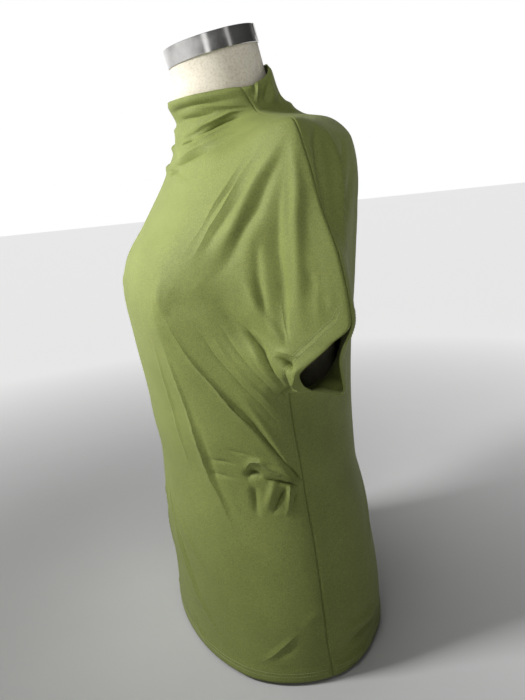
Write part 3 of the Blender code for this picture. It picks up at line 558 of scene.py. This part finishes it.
def eased_underarm(points, shares, at):
    """The rows from ribs to sleeve eased into one another, but not along the panel's edges."""
    offsets = np.arange(-3 * EASE_ROWS, 3 * EASE_ROWS + 1)
    kernel = np.exp(-0.5 * (offsets / EASE_ROWS) ** 2)
    padded = np.pad(points, ((3 * EASE_ROWS, 3 * EASE_ROWS), (0, 0), (0, 0)), mode="edge")
    eased = sum(k * padded[i:i + len(points)] for i, k in enumerate(kernel / kernel.sum()))
    low, high = section_row("waist", at), section_row("armhole", at)
    rows = np.arange(len(points))
    in_rows = ease((rows - low) / UNDERARM_ROWS) * ease((high - rows) / UNDERARM_ROWS)
    in_columns = ease((1 - np.abs(shares)) / UNDERARM_SHARE)
    weight = in_rows[:, None, None] * in_columns[None, :, None]
    return points + (eased - points) * weight


def unit(vectors):
    """The vectors at length 1."""
    return vectors / (np.linalg.norm(vectors, axis=-1, keepdims=True) + 1e-12)


def outward_normals(points, side, smoothing):
    """Unit normals of a panel's grid of points, away from the form and, at a seam, never across it."""
    away = -1 if side == "front" else 1
    normals = unit(np.cross(np.gradient(points, axis=1), np.gradient(points, axis=0))) * -away
    for _ in range(smoothing):
        padded = np.pad(normals, ((1, 1), (1, 1), (0, 0)), mode="edge")
        beside = padded[:-2, 1:-1] + padded[2:, 1:-1] + padded[1:-1, :-2] + padded[1:-1, 2:]
        normals = unit(normals + beside / 4)
    for column in (0, -1):
        normals[:, column, 1] = away * np.maximum(normals[:, column, 1] * away, 0)
    return unit(normals)


def grid_value(grid, row, column):
    """A grid of points read between its rows and columns."""
    i = int(np.clip(math.floor(row), 0, grid.shape[0] - 2))
    j = int(np.clip(math.floor(column), 0, grid.shape[1] - 2))
    s, t = row - i, column - j
    low = grid[i, j] * (1 - t) + grid[i, j + 1] * t
    high = grid[i + 1, j] * (1 - t) + grid[i + 1, j + 1] * t
    return low * (1 - s) + high * s


def crease_path(points, shares, controls):
    """A crease's line on the panel, through its control points."""
    controls = np.array(controls, float).reshape(-1, 2)
    gone = np.concatenate([[0], np.cumsum(np.hypot(*(np.diff(controls, axis=0) * (SHARE_LENGTH, 1)).T))])
    at = np.linspace(0, gone[-1], CREASE_STEPS + 1)
    across = smooth_column(gone, controls[:, 0], at)
    z = smooth_column(gone, controls[:, 1], at) * MM
    path = []
    for share, height in zip(across / 100, z):
        column = np.interp(share, shares, np.arange(len(shares)))
        j = int(np.clip(math.floor(column), 0, len(shares) - 2))
        found = []
        for k in (j, j + 1):
            heights = np.maximum.accumulate(points[:, k, 2]) + np.arange(len(points)) * 1e-9
            found.append(np.interp(height, heights, np.arange(len(points))))
        row = found[0] + (found[1] - found[0]) * (column - j)
        path.append(grid_value(points, row, column))
    return np.array(path)


def crease_height(points, normals, shares, crease):
    """Each point's move outward by a crease, its offset from the crease's line and its taut line's height."""
    path = crease_path(points, shares, crease["path"])
    from_width, to_width = crease["from_width"] * MM, crease["to_width"] * MM
    reach = CREASE_REACH * max(from_width, to_width) * (1 + abs(crease["skew"]))
    reach = max(reach, 1.2 * TAUT_REACH)
    low, high = path.min(0) - reach, path.max(0) + reach
    near = np.all((points > low) & (points < high), axis=-1)
    p, n = points[near], normals[near]
    best = np.full(len(p), np.inf)
    along = np.zeros(len(p))
    hand = np.ones(len(p))
    for k in range(len(path) - 1):
        step = path[k + 1] - path[k]
        t = np.clip(((p - path[k]) @ step) / (step @ step + 1e-12), 0, 1)
        offset = p - path[k] - t[:, None] * step
        distance = np.linalg.norm(offset, axis=-1)
        closer = distance < best
        best = np.where(closer, distance, best)
        along = np.where(closer, (k + t) / (len(path) - 1), along)
        sign = np.sign(np.sum(offset * np.cross(step, n), axis=-1))
        hand = np.where(closer, sign, hand)
    width = (from_width + (to_width - from_width) * along) * (1 + crease["skew"] * hand)
    peak = crease["peak"]
    strength = np.where(along < peak, ease(along / peak), ease((1 - along) / (1 - peak)))
    strength = crease["height"] * MM * strength ** CREASE_HOLD
    height, offset, line = np.zeros(near.shape), np.ones(near.shape), np.zeros(near.shape)
    height[near] = strength * np.exp(-((best / width) ** crease["sharp"]))
    offset[near] = best * hand
    line[near] = TAUT_SHARE * strength * ease(2 - 2 * best / TAUT_REACH)
    return height, offset, line


def taut_layers(creases):
    """Layers of offsets and heights of taut lines: no two lines in a layer come near each other."""
    layers = []
    for offset, line in creases:
        near = np.abs(offset) < TAUT_REACH
        free = [layer for layer in layers if not np.any(near & layer["taken"])]
        if free:
            layer = free[0]
        else:
            blank = np.zeros(offset.shape)
            layer = {"offset": blank + TAUT_REACH, "line": blank, "taken": blank > 0}
            layers.append(layer)
        layer["offset"] = np.where(near, offset, layer["offset"])
        layer["line"] = np.where(near, line, layer["line"])
        layer["taken"] = layer["taken"] | near
    return layers[:TAUT_LAYERS]


def lengths(points, axis):
    """How far each point is along its line of points, in metres."""
    gone = np.cumsum(np.linalg.norm(np.diff(points, axis=axis), axis=-1), axis=axis)
    return np.concatenate([np.zeros_like(gone.take([0], axis)), gone], axis)


def path_value(path, gone, at):
    """A path's point at a distance along it, from its points and their distances."""
    return np.array([np.interp(at, gone, path[:, c]) for c in range(3)])


def seam_distance(points):
    """Each point's distance from the nearer end of its row."""
    ends = (points[:, -1:], points[:, :1])
    return np.minimum(*(np.linalg.norm(points - end, axis=-1) for end in ends))


def cuff_distance(points, at):
    """Each point's distance from the nearest cuff edge."""
    low, high = section_row("lip", at), section_row("corner", at)
    distance = np.full(points.shape[:-1], np.inf)
    for column in (0, -1):
        for row in range(low, high + 1):
            distance = np.minimum(distance, np.linalg.norm(points - points[row, column], axis=-1))
    return distance


def mirrored_crease(crease, across, up, factor):
    """The right front's copy of a crease."""
    path = []
    for share, height in zip(crease["path"][::2], crease["path"][1::2]):
        path += [min(across - share, 0) if share > 0 else across - share, height + up]
    return {**crease, "path": path, "height": crease["height"] * factor, "skew": -crease["skew"]}


def panel_creases(side):
    """The panel's creases by their column names, each followed by its mirrored copy."""
    creases = []
    for name, row in CREASES[side].items():
        crease = {**CREASE_DEFAULTS, **dict(zip(CREASE_COLUMNS, row))}
        creases.append(crease)
        group = name.split("_")[0]
        if side == "front" and group in MIRRORED:
            creases.append(mirrored_crease(crease, *MIRRORED[group]))
    return creases


def folded_panel(points, shares, side):
    """The panel's points moved by its creases and its rolled neck edge, and its layers of taut lines."""
    normals = outward_normals(points, side, NORMAL_SMOOTHING)
    height = np.zeros(points.shape[:-1])
    taut = []
    for crease in panel_creases(side):
        moved, offset, line = crease_height(points, normals, shares, crease)
        height += moved
        if crease["from_width"] <= TAUT_WIDTH:
            taut.append((offset, line))
    height *= ease(seam_distance(points) / SEAM_HOLD)
    from_hem = lengths(points, 0)
    neck_roll = NECK_ROLL * np.exp(-(((from_hem[-1] - from_hem) / NECK_ROLL_WIDTH) ** 2))
    folded = points + normals * height[..., None]
    folded -= normals * neck_roll[..., None]
    return folded, taut_layers(taut)


def panel_surfaces(side):
    """A panel's inner and outer surfaces, with its doubled edges and rolled seams, and its taut lines."""
    points, shares = base_panel(side)
    folded, layers = folded_panel(points, shares, side)
    seam = seam_distance(points)
    cuff = cuff_distance(points, row_values())
    normals = outward_normals(folded, side, 1)
    doubled, groove = [], 0
    for distance in (lengths(points, 0), cuff):
        doubled.append(ease((HEM_DEPTH + HEM_STEP / 2 - distance) / HEM_STEP))
        groove = groove + np.exp(-(((distance - HEM_DEPTH) / HEM_GROOVE_WIDTH) ** 2))
    puff = HEM_PUFF * (doubled[0] + doubled[1]) - HEM_GROOVE * groove
    rolled = np.where(cuff > CUFF_LIP, np.exp(-((seam / SEAM_ROLL) ** 2)), 0)
    outward = CLOTH_THICKNESS * (1 - SEAM_ROLL_SHARE * rolled) + puff * ease(seam / SEAM_HOLD)
    inward = HEM_EXTRA * np.maximum(*doubled) * ease(seam / SEAM_HOLD)
    return folded - normals * inward[..., None], folded + normals * outward[..., None], layers


# Meshes


def mesh_object(name, verts, faces, material, smooth=True, uvs=None):
    """An object with the given faces. uvs: one pair of metres for each vertex."""
    mesh = bpy.data.meshes.new(name)
    mesh.from_pydata([tuple(v) for v in verts], [], faces)
    mesh.validate()
    if smooth:
        mesh.shade_smooth()
    if uvs is not None:
        layer = mesh.uv_layers.new(name="cloth")
        loop_verts = np.zeros(len(mesh.loops), int)
        mesh.loops.foreach_get("vertex_index", loop_verts)
        layer.data.foreach_set("uv", np.asarray(uvs, np.float32)[loop_verts].ravel())
    mesh.materials.append(material)
    obj = bpy.data.objects.new(name, mesh)
    bpy.context.scene.collection.objects.link(obj)
    return obj


def grid_lengths(points):
    """Metres along the rows and up the columns of a grid, from its middle column and lowest row."""
    across = lengths(points, 1)
    across -= across[:, [points.shape[1] // 2]]
    return np.stack([across, lengths(points, 0)], -1)


def wall_object(name, inner, outer, material, order):
    """A closed wall between two grids of points, its edges rounded by one more ring. order: 1, or -1 to
    turn its faces over."""
    rows, columns = inner.shape[:2]
    count = rows * columns
    faces = []
    for i in range(rows - 1):
        for j in range(columns - 1):
            a = i * columns + j
            quad = (a, a + columns, a + columns + 1, a + 1)[::order]
            faces.append(quad)
            faces.append(tuple(count + v for v in quad[::-1]))
    rim = list(range(columns))
    rim += [i * columns + columns - 1 for i in range(1, rows)]
    rim += [(rows - 1) * columns + j for j in range(columns - 2, -1, -1)]
    rim += [i * columns for i in range(rows - 2, 0, -1)]
    flat_inner, flat_outer = inner.reshape(-1, 3), outer.reshape(-1, 3)
    middle = (flat_inner[rim] + flat_outer[rim]) / 2
    verts = np.concatenate([flat_inner, flat_outer, middle])
    size = len(rim)
    for k in range(size):
        n = (k + 1) % size
        a, b = rim[k], rim[n]
        faces.append((a, b, 2 * count + n, 2 * count + k)[::order])
        faces.append((2 * count + k, 2 * count + n, count + b, count + a)[::order])
    cloth = grid_lengths(outer).reshape(-1, 2)
    uvs = np.concatenate([cloth, cloth, cloth[rim]])
    return mesh_object(name, verts, faces, material, uvs=uvs)


def mark_taut_lines(panel, layers):
    """Each layer's offsets and heights, in millimetres, as a vector at each point of the outer surface."""
    for k, layer in enumerate(layers):
        values = np.zeros((len(panel.data.vertices), 3), np.float32)
        count = layer["offset"].size
        values[count:2 * count, 0] = layer["offset"].ravel() / MM
        values[count:2 * count, 1] = layer["line"].ravel() / MM
        attribute = panel.data.attributes.new(f"taut_{k}", "FLOAT_VECTOR", "POINT")
        attribute.data.foreach_set("vector", values.ravel())


def ring_faces(count, size, base=0, ends=True):
    """Faces between rings of points, with a face at each end, or from the last ring back to the first."""
    faces = []
    for i in range(count - 1 if ends else count):
        a, b = base + i * size, base + (i + 1) % count * size
        for k in range(size):
            n = (k + 1) % size
            faces.append((a + k, a + n, b + n, b + k))
    if ends:
        last = base + (count - 1) * size
        faces.append(tuple(range(base, base + size))[::-1])
        faces.append(tuple(range(last, last + size)))
    return faces


def loft(name, rings, material):
    """A closed surface through rings of points."""
    ring_points = np.stack([np.concatenate([ring, ring[:1]]) for ring in rings])
    uvs = grid_lengths(ring_points)[:, :-1].reshape(-1, 2)
    return mesh_object(name, np.concatenate(rings), ring_faces(len(rings), len(rings[0])), material, uvs=uvs)


def thread_piece(verts, faces, start, end, normal, radius, bury):
    """One stitch: a short round thread whose ends dip into the cloth."""
    side = unit(np.cross(unit(end - start), normal))
    lift = unit(np.cross(side, unit(end - start)))
    middle = radius * STITCH_LIFT
    stations = ((0.0, -bury), (0.25, middle), (0.75, middle), (1.0, -bury))
    faces += ring_faces(len(stations), THREAD_SIDES, len(verts))
    for share, height in stations:
        centre = start + (end - start) * share + lift * height
        for k in range(THREAD_SIDES):
            angle = 2 * math.pi * k / THREAD_SIDES
            verts.append(centre + radius * (math.cos(angle) * side + math.sin(angle) * lift))


def stitch_row(verts, faces, path, normals, length, gap, radius):
    """Stitches in a row along a path on the cloth."""
    gone = lengths(path, 0)
    for k in range(int(gone[-1] / (length + gap))):
        at = k * (length + gap)
        start, end = path_value(path, gone, at), path_value(path, gone, at + length)
        normal = unit(path_value(normals, gone, at + length / 2))
        thread_piece(verts, faces, start, end, normal, radius, radius * STITCH_BURY)


def hem_paths(outer, side, offset):
    """The line at a height above the hem's edge, from seam to seam, with normals."""
    normals = outward_normals(outer, side, 1)
    from_hem = lengths(outer, 0)
    path, path_normals = [], []
    for j in range(1, outer.shape[1] - 1):
        row = np.interp(offset, from_hem[:, j], np.arange(outer.shape[0]))
        path.append(grid_value(outer, row, j))
        path_normals.append(grid_value(normals, row, j))
    return np.array(path), np.array(path_normals)


def cuff_paths(outer, side, offset):
    """The line at a distance inside each cuff's edge, with normals."""
    normals = outward_normals(outer, side, 1)
    at = row_values()
    distance = cuff_distance(outer, at)
    low, high = section_row("lip", at), section_row("corner", at)
    below, above = CUFF_PATH_ROWS
    found = []
    for hand in (-1, 1):
        path, path_normals = [], []
        for row in range(low - below, high + above):
            half = outer.shape[1] // 2
            columns = np.arange(half, outer.shape[1]) if hand > 0 else np.arange(half, -1, -1)
            d = distance[row, columns]
            nearest = int(np.argmin(d))
            if d[nearest] > offset:
                continue
            inside = np.nonzero(d[:nearest + 1] > offset)[0]
            if len(inside) == 0:
                continue
            k = int(inside[-1])
            t = (d[k] - offset) / (d[k] - d[k + 1] + 1e-9)
            column = columns[k] + (columns[k + 1] - columns[k]) * t
            path.append(grid_value(outer, row, column))
            path_normals.append(grid_value(normals, row, column))
        found.append((np.array(path), np.array(path_normals)))
    return found


# Materials


def node_tools(tree):
    """A function that adds a node to a tree, and one that sets a node's inputs to values or links them."""

    def put(node, inputs):
        for key, value in inputs.items():
            if isinstance(value, bpy.types.NodeSocket):
                tree.links.new(value, node.inputs[key])
            else:
                node.inputs[key].default_value = value

    def add(kind, inputs=(), **settings):
        node = tree.nodes.new("ShaderNode" + kind)
        for key, value in settings.items():
            setattr(node, key, value)
        put(node, dict(inputs))
        return node

    return add, put


def new_material(name):
    """A material, a function that adds a node to it, and one that sets its shader's inputs."""
    material = bpy.data.materials.new(name)
    material.use_nodes = True
    add, put = node_tools(material.node_tree)
    shader = material.node_tree.nodes["Principled BSDF"]
    return material, add, lambda inputs: put(shader, inputs)


def ramp(add, value, stops):
    """A colour ramp on a value. stops: (position, colour)."""
    node = add("ValToRGB", {"Fac": value})
    elements = node.color_ramp.elements
    elements[0].position, elements[0].color = stops[0][0], (*stops[0][1], 1)
    elements[1].position, elements[1].color = stops[-1][0], (*stops[-1][1], 1)
    for position, colour in stops[1:-1]:
        elements.new(position).color = (*colour, 1)
    return node.outputs["Color"]


def math_node(add, operation, a, b):
    """One operation on two values or sockets."""
    return add("Math", {0: a, 1: b}, operation=operation).outputs[0]


def map_range(add, value, ends):
    """A value moved from one range to another."""
    return add("MapRange", {"Value": value, **ends}).outputs["Result"]


def object_place(add):
    """Where a point is on its object."""
    return add("TexCoord").outputs["Object"]


def cloth_place(add):
    """Where a point is on its sheet, in metres along and up."""
    return add("UVMap", uv_map="cloth").outputs["UV"]


def noise(add, place, scale, detail, roughness=0.5, distortion=0.0):
    """Cloudy noise, from 0 to 1."""
    inputs = {"Vector": place, "Scale": scale, "Detail": detail, "Roughness": roughness}
    return add("TexNoise", {**inputs, "Distortion": distortion}).outputs["Fac"]


def waves(add, place, direction, period):
    """Ribs of the given period in metres along one direction of the sheet, from 0 to 1."""
    inputs = {"Vector": place, "Scale": WAVE_PERIOD / period, "Distortion": 0.0}
    return add("TexWave", inputs, bands_direction=direction).outputs["Fac"]


def bump(add, height, strength, distance, under=()):
    """A normal with relief of the given height, laid over the one under it."""
    inputs = {"Height": height, "Strength": strength, "Distance": distance}
    return add("Bump", {**inputs, **dict(under)}).outputs["Normal"]


def flecked(add, body, fleck, factor):
    """A colour times its flecks."""
    inputs = {"Factor": factor, "A": body, "B": fleck}
    return add("Mix", inputs, data_type="RGBA", blend_type="MULTIPLY").outputs["Result"]


def taut_height(add):
    """The taut lines' height in millimetres, summed over their layers."""
    total = 0.0
    for k in range(TAUT_LAYERS):
        layer = add("Attribute", attribute_name=f"taut_{k}")
        split = add("SeparateXYZ", {"Vector": layer.outputs["Vector"]})
        away = math_node(add, "ABSOLUTE", split.outputs["X"], 0.0)
        fall = math_node(add, "EXPONENT", math_node(add, "MULTIPLY", away, -MM / TAUT_SPREAD), 0.0)
        total = math_node(add, "ADD", math_node(add, "MULTIPLY", fall, split.outputs["Y"]), total)
    return total


def jersey_material():
    """Viscose jersey: fine wales and courses, heather and a soft sheen."""
    material, add, dress = new_material("olive_jersey")
    cloth, place = cloth_place(add), object_place(add)
    blotch = noise(add, place, 22.0, 3.0, 0.55)
    heather = noise(add, place, 760.0, 2.0, 0.7)
    body = ramp(add, blotch, ((0.3, JERSEY_SHADE), (0.52, JERSEY), (0.75, JERSEY_LIGHT)))
    knit = math_node(add, "MULTIPLY", waves(add, cloth, "X", WALE), waves(add, cloth, "Y", COURSE))
    fuzz = math_node(add, "MULTIPLY", heather, 0.7)
    fine = bump(add, math_node(add, "ADD", knit, fuzz), 0.55, 0.00018)
    soft = bump(add, noise(add, place, 95.0, 2.0), 0.35, 0.0010, {"Normal": fine})
    taut = bump(add, taut_height(add), 1.0, MM, {"Normal": soft})
    dress({
        "Base Color": flecked(add, body, ramp(add, heather, JERSEY_FLECKS), 1.0),
        "Normal": taut,
        "Roughness": map_range(add, heather, {"To Min": 0.52, "To Max": 0.66}),
        "Specular IOR Level": 0.25,
        "Sheen Weight": 0.12,
        "Sheen Roughness": 0.42,
        "Sheen Tint": (0.86, 0.90, 0.50, 1),
    })
    return material


def thread_material():
    """Polyester sewing thread a shade lighter than the jersey."""
    material, add, dress = new_material("olive_thread")
    twist = noise(add, object_place(add), 1600.0, 1.0)
    dress({
        "Base Color": ramp(add, twist, ((0.35, THREAD_SHADE), (0.65, THREAD))),
        "Normal": bump(add, twist, 0.5, 0.0001),
        "Roughness": 0.45,
    })
    return material


def linen_material():
    """Unbleached linen: a plain weave with slubs and faint stains."""
    material, add, dress = new_material("natural_linen")
    cloth, place = cloth_place(add), object_place(add)
    stain = noise(add, place, 16.0, 4.0, 0.6)
    slub = noise(add, place, 420.0, 3.0, 0.7)
    body = ramp(add, stain, ((0.3, LINEN_SHADE), (0.6, LINEN)))
    weave = math_node(add, "MAXIMUM", waves(add, cloth, "X", WARP), waves(add, cloth, "Y", WEFT))
    dress({
        "Base Color": flecked(add, body, ramp(add, slub, LINEN_FLECKS), 0.85),
        "Normal": bump(add, math_node(add, "ADD", weave, slub), 0.6, 0.0003),
        "Roughness": 0.9,
        "Specular IOR Level": 0.2,
        "Sheen Weight": 0.15,
    })
    return material


def steel_material():
    """Polished steel with fine brushing round the strip and smudges."""
    material, add, dress = new_material("polished_steel")
    strip, place = cloth_place(add), object_place(add)
    stretched = add("Mapping", {"Vector": strip, "Scale": (60.0, 5200.0, 1.0)})
    brush = noise(add, stretched.outputs["Vector"], 1.0, 3.0)
    smudge = noise(add, place, 60.0, 3.0)
    fine = bump(add, brush, 0.25, 0.00005)
    dress({
        "Base Color": ramp(add, smudge, ((0.3, STEEL_SHADE), (0.6, STEEL))),
        "Normal": bump(add, noise(add, place, 34.0, 1.0), 0.5, 0.0012, {"Normal": fine}),
        "Roughness": map_range(add, smudge, {"To Min": 0.08, "To Max": 0.26}),
        "Metallic": 1.0,
    })
    return material


def board_material():
    """A varnished wooden disc."""
    material, add, dress = new_material("varnished_board")
    stretched = add("Mapping", {"Vector": object_place(add), "Scale": (14.0, 220.0, 60.0)})
    grain = noise(add, stretched.outputs["Vector"], 1.0, 5.0, distortion=0.6)
    dress({
        "Base Color": ramp(add, grain, ((0.3, WOOD_SHADE), (0.7, WOOD))),
        "Normal": bump(add, grain, 0.3, 0.0003),
        "Roughness": 0.4,
        "Coat Weight": 0.3,
    })
    return material


def floor_material():
    """Pale floor with painted light: it glows more the further out it lies."""
    material, add, dress = new_material("pale_floor")
    place = object_place(add)
    away = add("VectorMath", {0: place}, operation="LENGTH")
    dress({
        "Base Color": ramp(add, noise(add, place, 3.0, 3.0), ((0.3, FLOOR_SHADE), (0.7, FLOOR))),
        "Roughness": 0.9,
        "Specular IOR Level": 0.1,
        # Painted light: emission that grows with distance from the middle
        "Emission Strength": map_range(add, away.outputs["Value"], FLOOR_PAINTED_GLOW),
        "Emission Color": (1, 1, 1, 1),
    })
    return material


# The dress form


def form_ring(read, i):
    """One ring of the form, round from the front."""
    shares = np.linspace(0, 1, FORM_QUARTER + 1)
    flip = np.array([-1, 1, 1])
    halves = {}
    for side in ("front", "back"):
        x, y = quarter_section(
            read[side + "_y"][i], read["half_width"][i], read["middle_y"][i], read[side + "_round"][i], shares
        )
        z = read["z"][i] + read["slope"][i] * (y - read["middle_y"][i])
        if side == "front":
            y = y - bust_swell(x, z, FORM_BUST) * ease((1 - shares) / SWELL_SHARE)
        halves[side] = np.stack([x, y, z], -1)
    front, back = halves["front"], halves["back"]
    return np.concatenate([front[:-1], back[:0:-1], (back * flip)[:-1], (front * flip)[:0:-1]])


def neck_point(radius, angle, drop):
    """A point round the tilted neck: angle from +X towards the back, drop down its axis from the top."""
    along = radius * math.sin(angle)
    x = NECK_TOP[0] + radius * math.cos(angle)
    y = NECK_TOP[1] + along * math.cos(NECK_TILT) + drop * math.sin(NECK_TILT)
    z = NECK_TOP[2] + along * math.sin(NECK_TILT) - drop * math.cos(NECK_TILT)
    return np.array((x, y, z))


def neck_ring(radius, drop, count):
    """A ring round the neck, from the front, in the same order as the form's rings."""
    angles = [-math.pi / 2 + 2 * math.pi * k / count for k in range(count)]
    return np.array([neck_point(radius, angle, drop) for angle in angles])


def make_form(material):
    """The covered torso and neck, in the CAD solid's shape and smoother."""
    heights = np.array([row[2] for row in FORM_SECTIONS.values()], float) * MM
    at = []
    for low, high in zip(heights[:-1], heights[1:]):
        at += list(np.linspace(low, high, math.ceil((high - low) / FORM_RING_SPACING) + 1)[:-1])
    at = np.array(at + [heights[-1]])
    read = read_table(FORM_COLUMNS, FORM_SECTIONS, heights, at, ("slope", "front_round", "back_round"))
    rings = [form_ring(read, i) for i in range(len(at))]
    count = 4 * FORM_QUARTER
    for drop in NECK_RING_DROPS:
        rings.append(neck_ring(NECK_RADIUS, drop, count))
    return loft("form_cover", rings, material)


def make_neck_seam(material):
    """The stitches of the cover's raised seam up the left of the neck."""
    verts, faces = [], []
    path, normals = [], []
    for t in np.linspace(0, 1, NECK_SEAM_POINTS):
        angle = NECK_SEAM_ANGLE + NECK_SEAM_LEAN * t
        drop = BAND_HEIGHT + NECK_SEAM_LIFT + t * NECK_SEAM_LENGTH
        path.append(neck_point(NECK_RADIUS + NECK_SEAM_LIFT, angle, drop))
        normals.append(neck_point(1.0, angle, 0.0) - neck_point(0.0, angle, 0.0))
    path, normals = np.array(path), np.array(normals)
    stitch_row(verts, faces, path, normals, STITCH, NECK_SEAM_GAP, NECK_SEAM_RADIUS)
    return mesh_object("form_neck_seam", verts, faces, material)


def band_outer_radius(angle):
    """The band's outside, with its lapped end standing out by the strip's thickness."""
    turned = (angle - BAND_LAP_ANGLE) % (2 * math.pi)
    near_end = ease(turned / 0.006)
    far_end = ease((BAND_LAP_WIDTH - turned) / 0.05)
    return NECK_RADIUS + BAND_FIT + BAND_THICKNESS + BAND_LAP_THICKNESS * near_end * far_end


def make_band(material):
    """The steel strip round the neck's top, its lapped end and its rounded edges."""
    angles = list(np.linspace(0, 2 * math.pi, BAND_STEPS, endpoint=False))
    angles += [BAND_LAP_ANGLE + d for d in (-0.001, 0.002, 0.004, 0.006)]
    rings = []
    for angle in sorted(angles):
        inner, outer = NECK_RADIUS + BAND_FIT, band_outer_radius(angle)
        low, high = BAND_EDGE, BAND_HEIGHT - BAND_EDGE
        corners = (
            (inner, low), (inner + BAND_EDGE, 0), (outer - BAND_EDGE, 0), (outer, low),
            (outer, BAND_HEIGHT * 0.5), (outer, high),
            (outer - BAND_EDGE, BAND_HEIGHT), (inner + BAND_EDGE, BAND_HEIGHT), (inner, high),
        )
        rings.append(np.array([neck_point(radius, angle, drop) for radius, drop in corners]))
    size = len(rings[0])
    faces = ring_faces(len(rings), size, ends=False)
    uvs = []
    for i in range(len(rings)):
        uvs += [(i / len(rings) * 2 * math.pi * NECK_RADIUS, k * BAND_UV_STEP) for k in range(size)]
    obj = mesh_object("steel_band", np.concatenate(rings), faces, material, uvs=uvs)
    obj.data.set_sharp_from_angle(angle=SHARP_EDGE)
    return obj


# Studio


def softbox(name, azimuth, elevation, distance, size, power, target):
    """A square light aimed at a point, at an azimuth and elevation seen from it."""
    light = bpy.data.lights.new(name, "AREA")
    light.size = size
    light.energy = power
    light.spread = LIGHT_SPREAD
    obj = bpy.data.objects.new(name, light)
    bpy.context.scene.collection.objects.link(obj)
    a, e = math.radians(azimuth), math.radians(elevation)
    away = Vector((math.sin(a) * math.cos(e), -math.cos(a) * math.cos(e), math.sin(e)))
    obj.location = Vector(target) + away * distance
    obj.rotation_mode = "QUATERNION"
    obj.rotation_quaternion = (Vector(target) - obj.location).to_track_quat("-Z", "Y")


def make_world():
    """Surroundings that are bright and dark by heading and dimmer overhead."""
    world = bpy.data.worlds.new("studio")
    bpy.context.scene.world = world
    world.use_nodes = True
    add, put = node_tools(world.node_tree)
    split = add("SeparateXYZ", {"Vector": add("TexCoord").outputs["Generated"]}).outputs
    heading = math_node(add, "ARCTAN2", split["X"], split["Y"])
    turned = map_range(add, heading, {"From Min": -math.pi, "From Max": math.pi})
    glow = ramp(add, turned, [(degrees / 360, (level, level, level)) for degrees, level in STUDIO_GLOW])
    inputs = {"Color": glow, "Strength": map_range(add, split["Z"], OVERHEAD)}
    put(world.node_tree.nodes["Background"], inputs)


def make_studio():
    """Lights, surroundings and floor."""
    for name, row in LIGHTS.items():
        softbox(name, *row)
    make_world()
    bpy.context.scene.view_settings.view_transform = "Standard"
    corners = [(x * FLOOR_HALF, y * FLOOR_HALF, 0) for x, y in ((-1, -1), (1, -1), (1, 1), (-1, 1))]
    mesh_object("floor", corners, [(0, 1, 2, 3)], floor_material(), smooth=False)


def make_camera():
    """The photograph's viewpoint."""
    azimuth, down = math.radians(CAMERA["azimuth"]), math.radians(CAMERA["down"])
    heading, roll = azimuth + math.radians(CAMERA["turn"]), math.radians(CAMERA["roll"])
    place = Vector((math.sin(azimuth), -math.cos(azimuth), 0)) * CAMERA["distance"]
    place.z = CAMERA["height"]
    level = Vector((-math.sin(heading), math.cos(heading), 0))
    forward = level * math.cos(down) - Vector((0, 0, math.sin(down)))
    right = Vector((math.cos(heading), math.sin(heading), 0))
    up = right.cross(forward)
    right, up = math.cos(roll) * right + math.sin(roll) * up, math.cos(roll) * up - math.sin(roll) * right
    data = bpy.data.cameras.new("camera")
    data.sensor_width = SENSOR
    data.lens = SENSOR * FOCAL_PIXELS / IMAGE_HEIGHT
    camera = bpy.data.objects.new("camera", data)
    bpy.context.scene.collection.objects.link(camera)
    matrix = Matrix((right, up, -forward)).transposed().to_4x4()
    matrix.translation = place
    camera.matrix_world = matrix
    bpy.context.scene.camera = camera


# The blouse


def sewn_stitches(side, inner, outer, thread):
    """The stitches of a panel's hem and cuffs, and the back's overlocked edges."""
    verts, faces = [], []
    paths = [hem_paths(outer, side, offset) for offset in HEM_ROWS]
    for offset in CUFF_ROWS:
        paths += cuff_paths(outer, side, offset)
    for path, normals in paths:
        stitch_row(verts, faces, path, normals, STITCH, STITCH_GAP, THREAD_RADIUS)
    if side == "back":
        overlock_edges(verts, faces, inner)
    return mesh_object(side + "_stitches", verts, faces, thread)


def make_blouse():
    """Front and back panels, each with the stitches of its hem and cuffs."""
    jersey = jersey_material()
    thread = thread_material()
    for side, order in (("front", 1), ("back", -1)):
        inner, outer, layers = panel_surfaces(side)
        panel = wall_object("blouse_" + side, inner, outer, jersey, order)
        mark_taut_lines(panel, layers)
        stitches = sewn_stitches(side, inner, outer, thread)
        for piece in (panel, stitches):
            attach(piece, "root")
        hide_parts(side)


def overlock_edges(verts, faces, inner):
    """Slanted thread loops over the raw edge of each cuff's turning, inside the sleeve."""
    edges = zip(cuff_paths(inner, "back", OVERLOCK_FROM), cuff_paths(inner, "back", OVERLOCK_TO))
    for (low, normals), (high, _) in edges:
        count = int(lengths(low, 0)[-1] / OVERLOCK_SPACING)
        low_steps, high_steps = np.arange(len(low)), np.arange(len(high))
        for k in range(count):
            start = path_value(low, low_steps, k / count * (len(low) - 1))
            end = path_value(high, high_steps, (k + 0.5) / count * (len(high) - 1))
            normal = path_value(normals, low_steps, k / count * (len(low) - 1))
            thread_piece(verts, faces, start, end, -unit(normal), THREAD_RADIUS, 0.0)


make_camera()
make_studio()
linen = linen_material()
form = make_form(linen)
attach(form, "root")
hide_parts("form_torso")
neck_seam = make_neck_seam(linen)
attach(neck_seam, "root")
band = make_band(steel_material())
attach(band, "root")
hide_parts("neck_band")
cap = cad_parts["neck_cap"]
for slot in cap.material_slots:
    slot.material = board_material()
make_blouse()
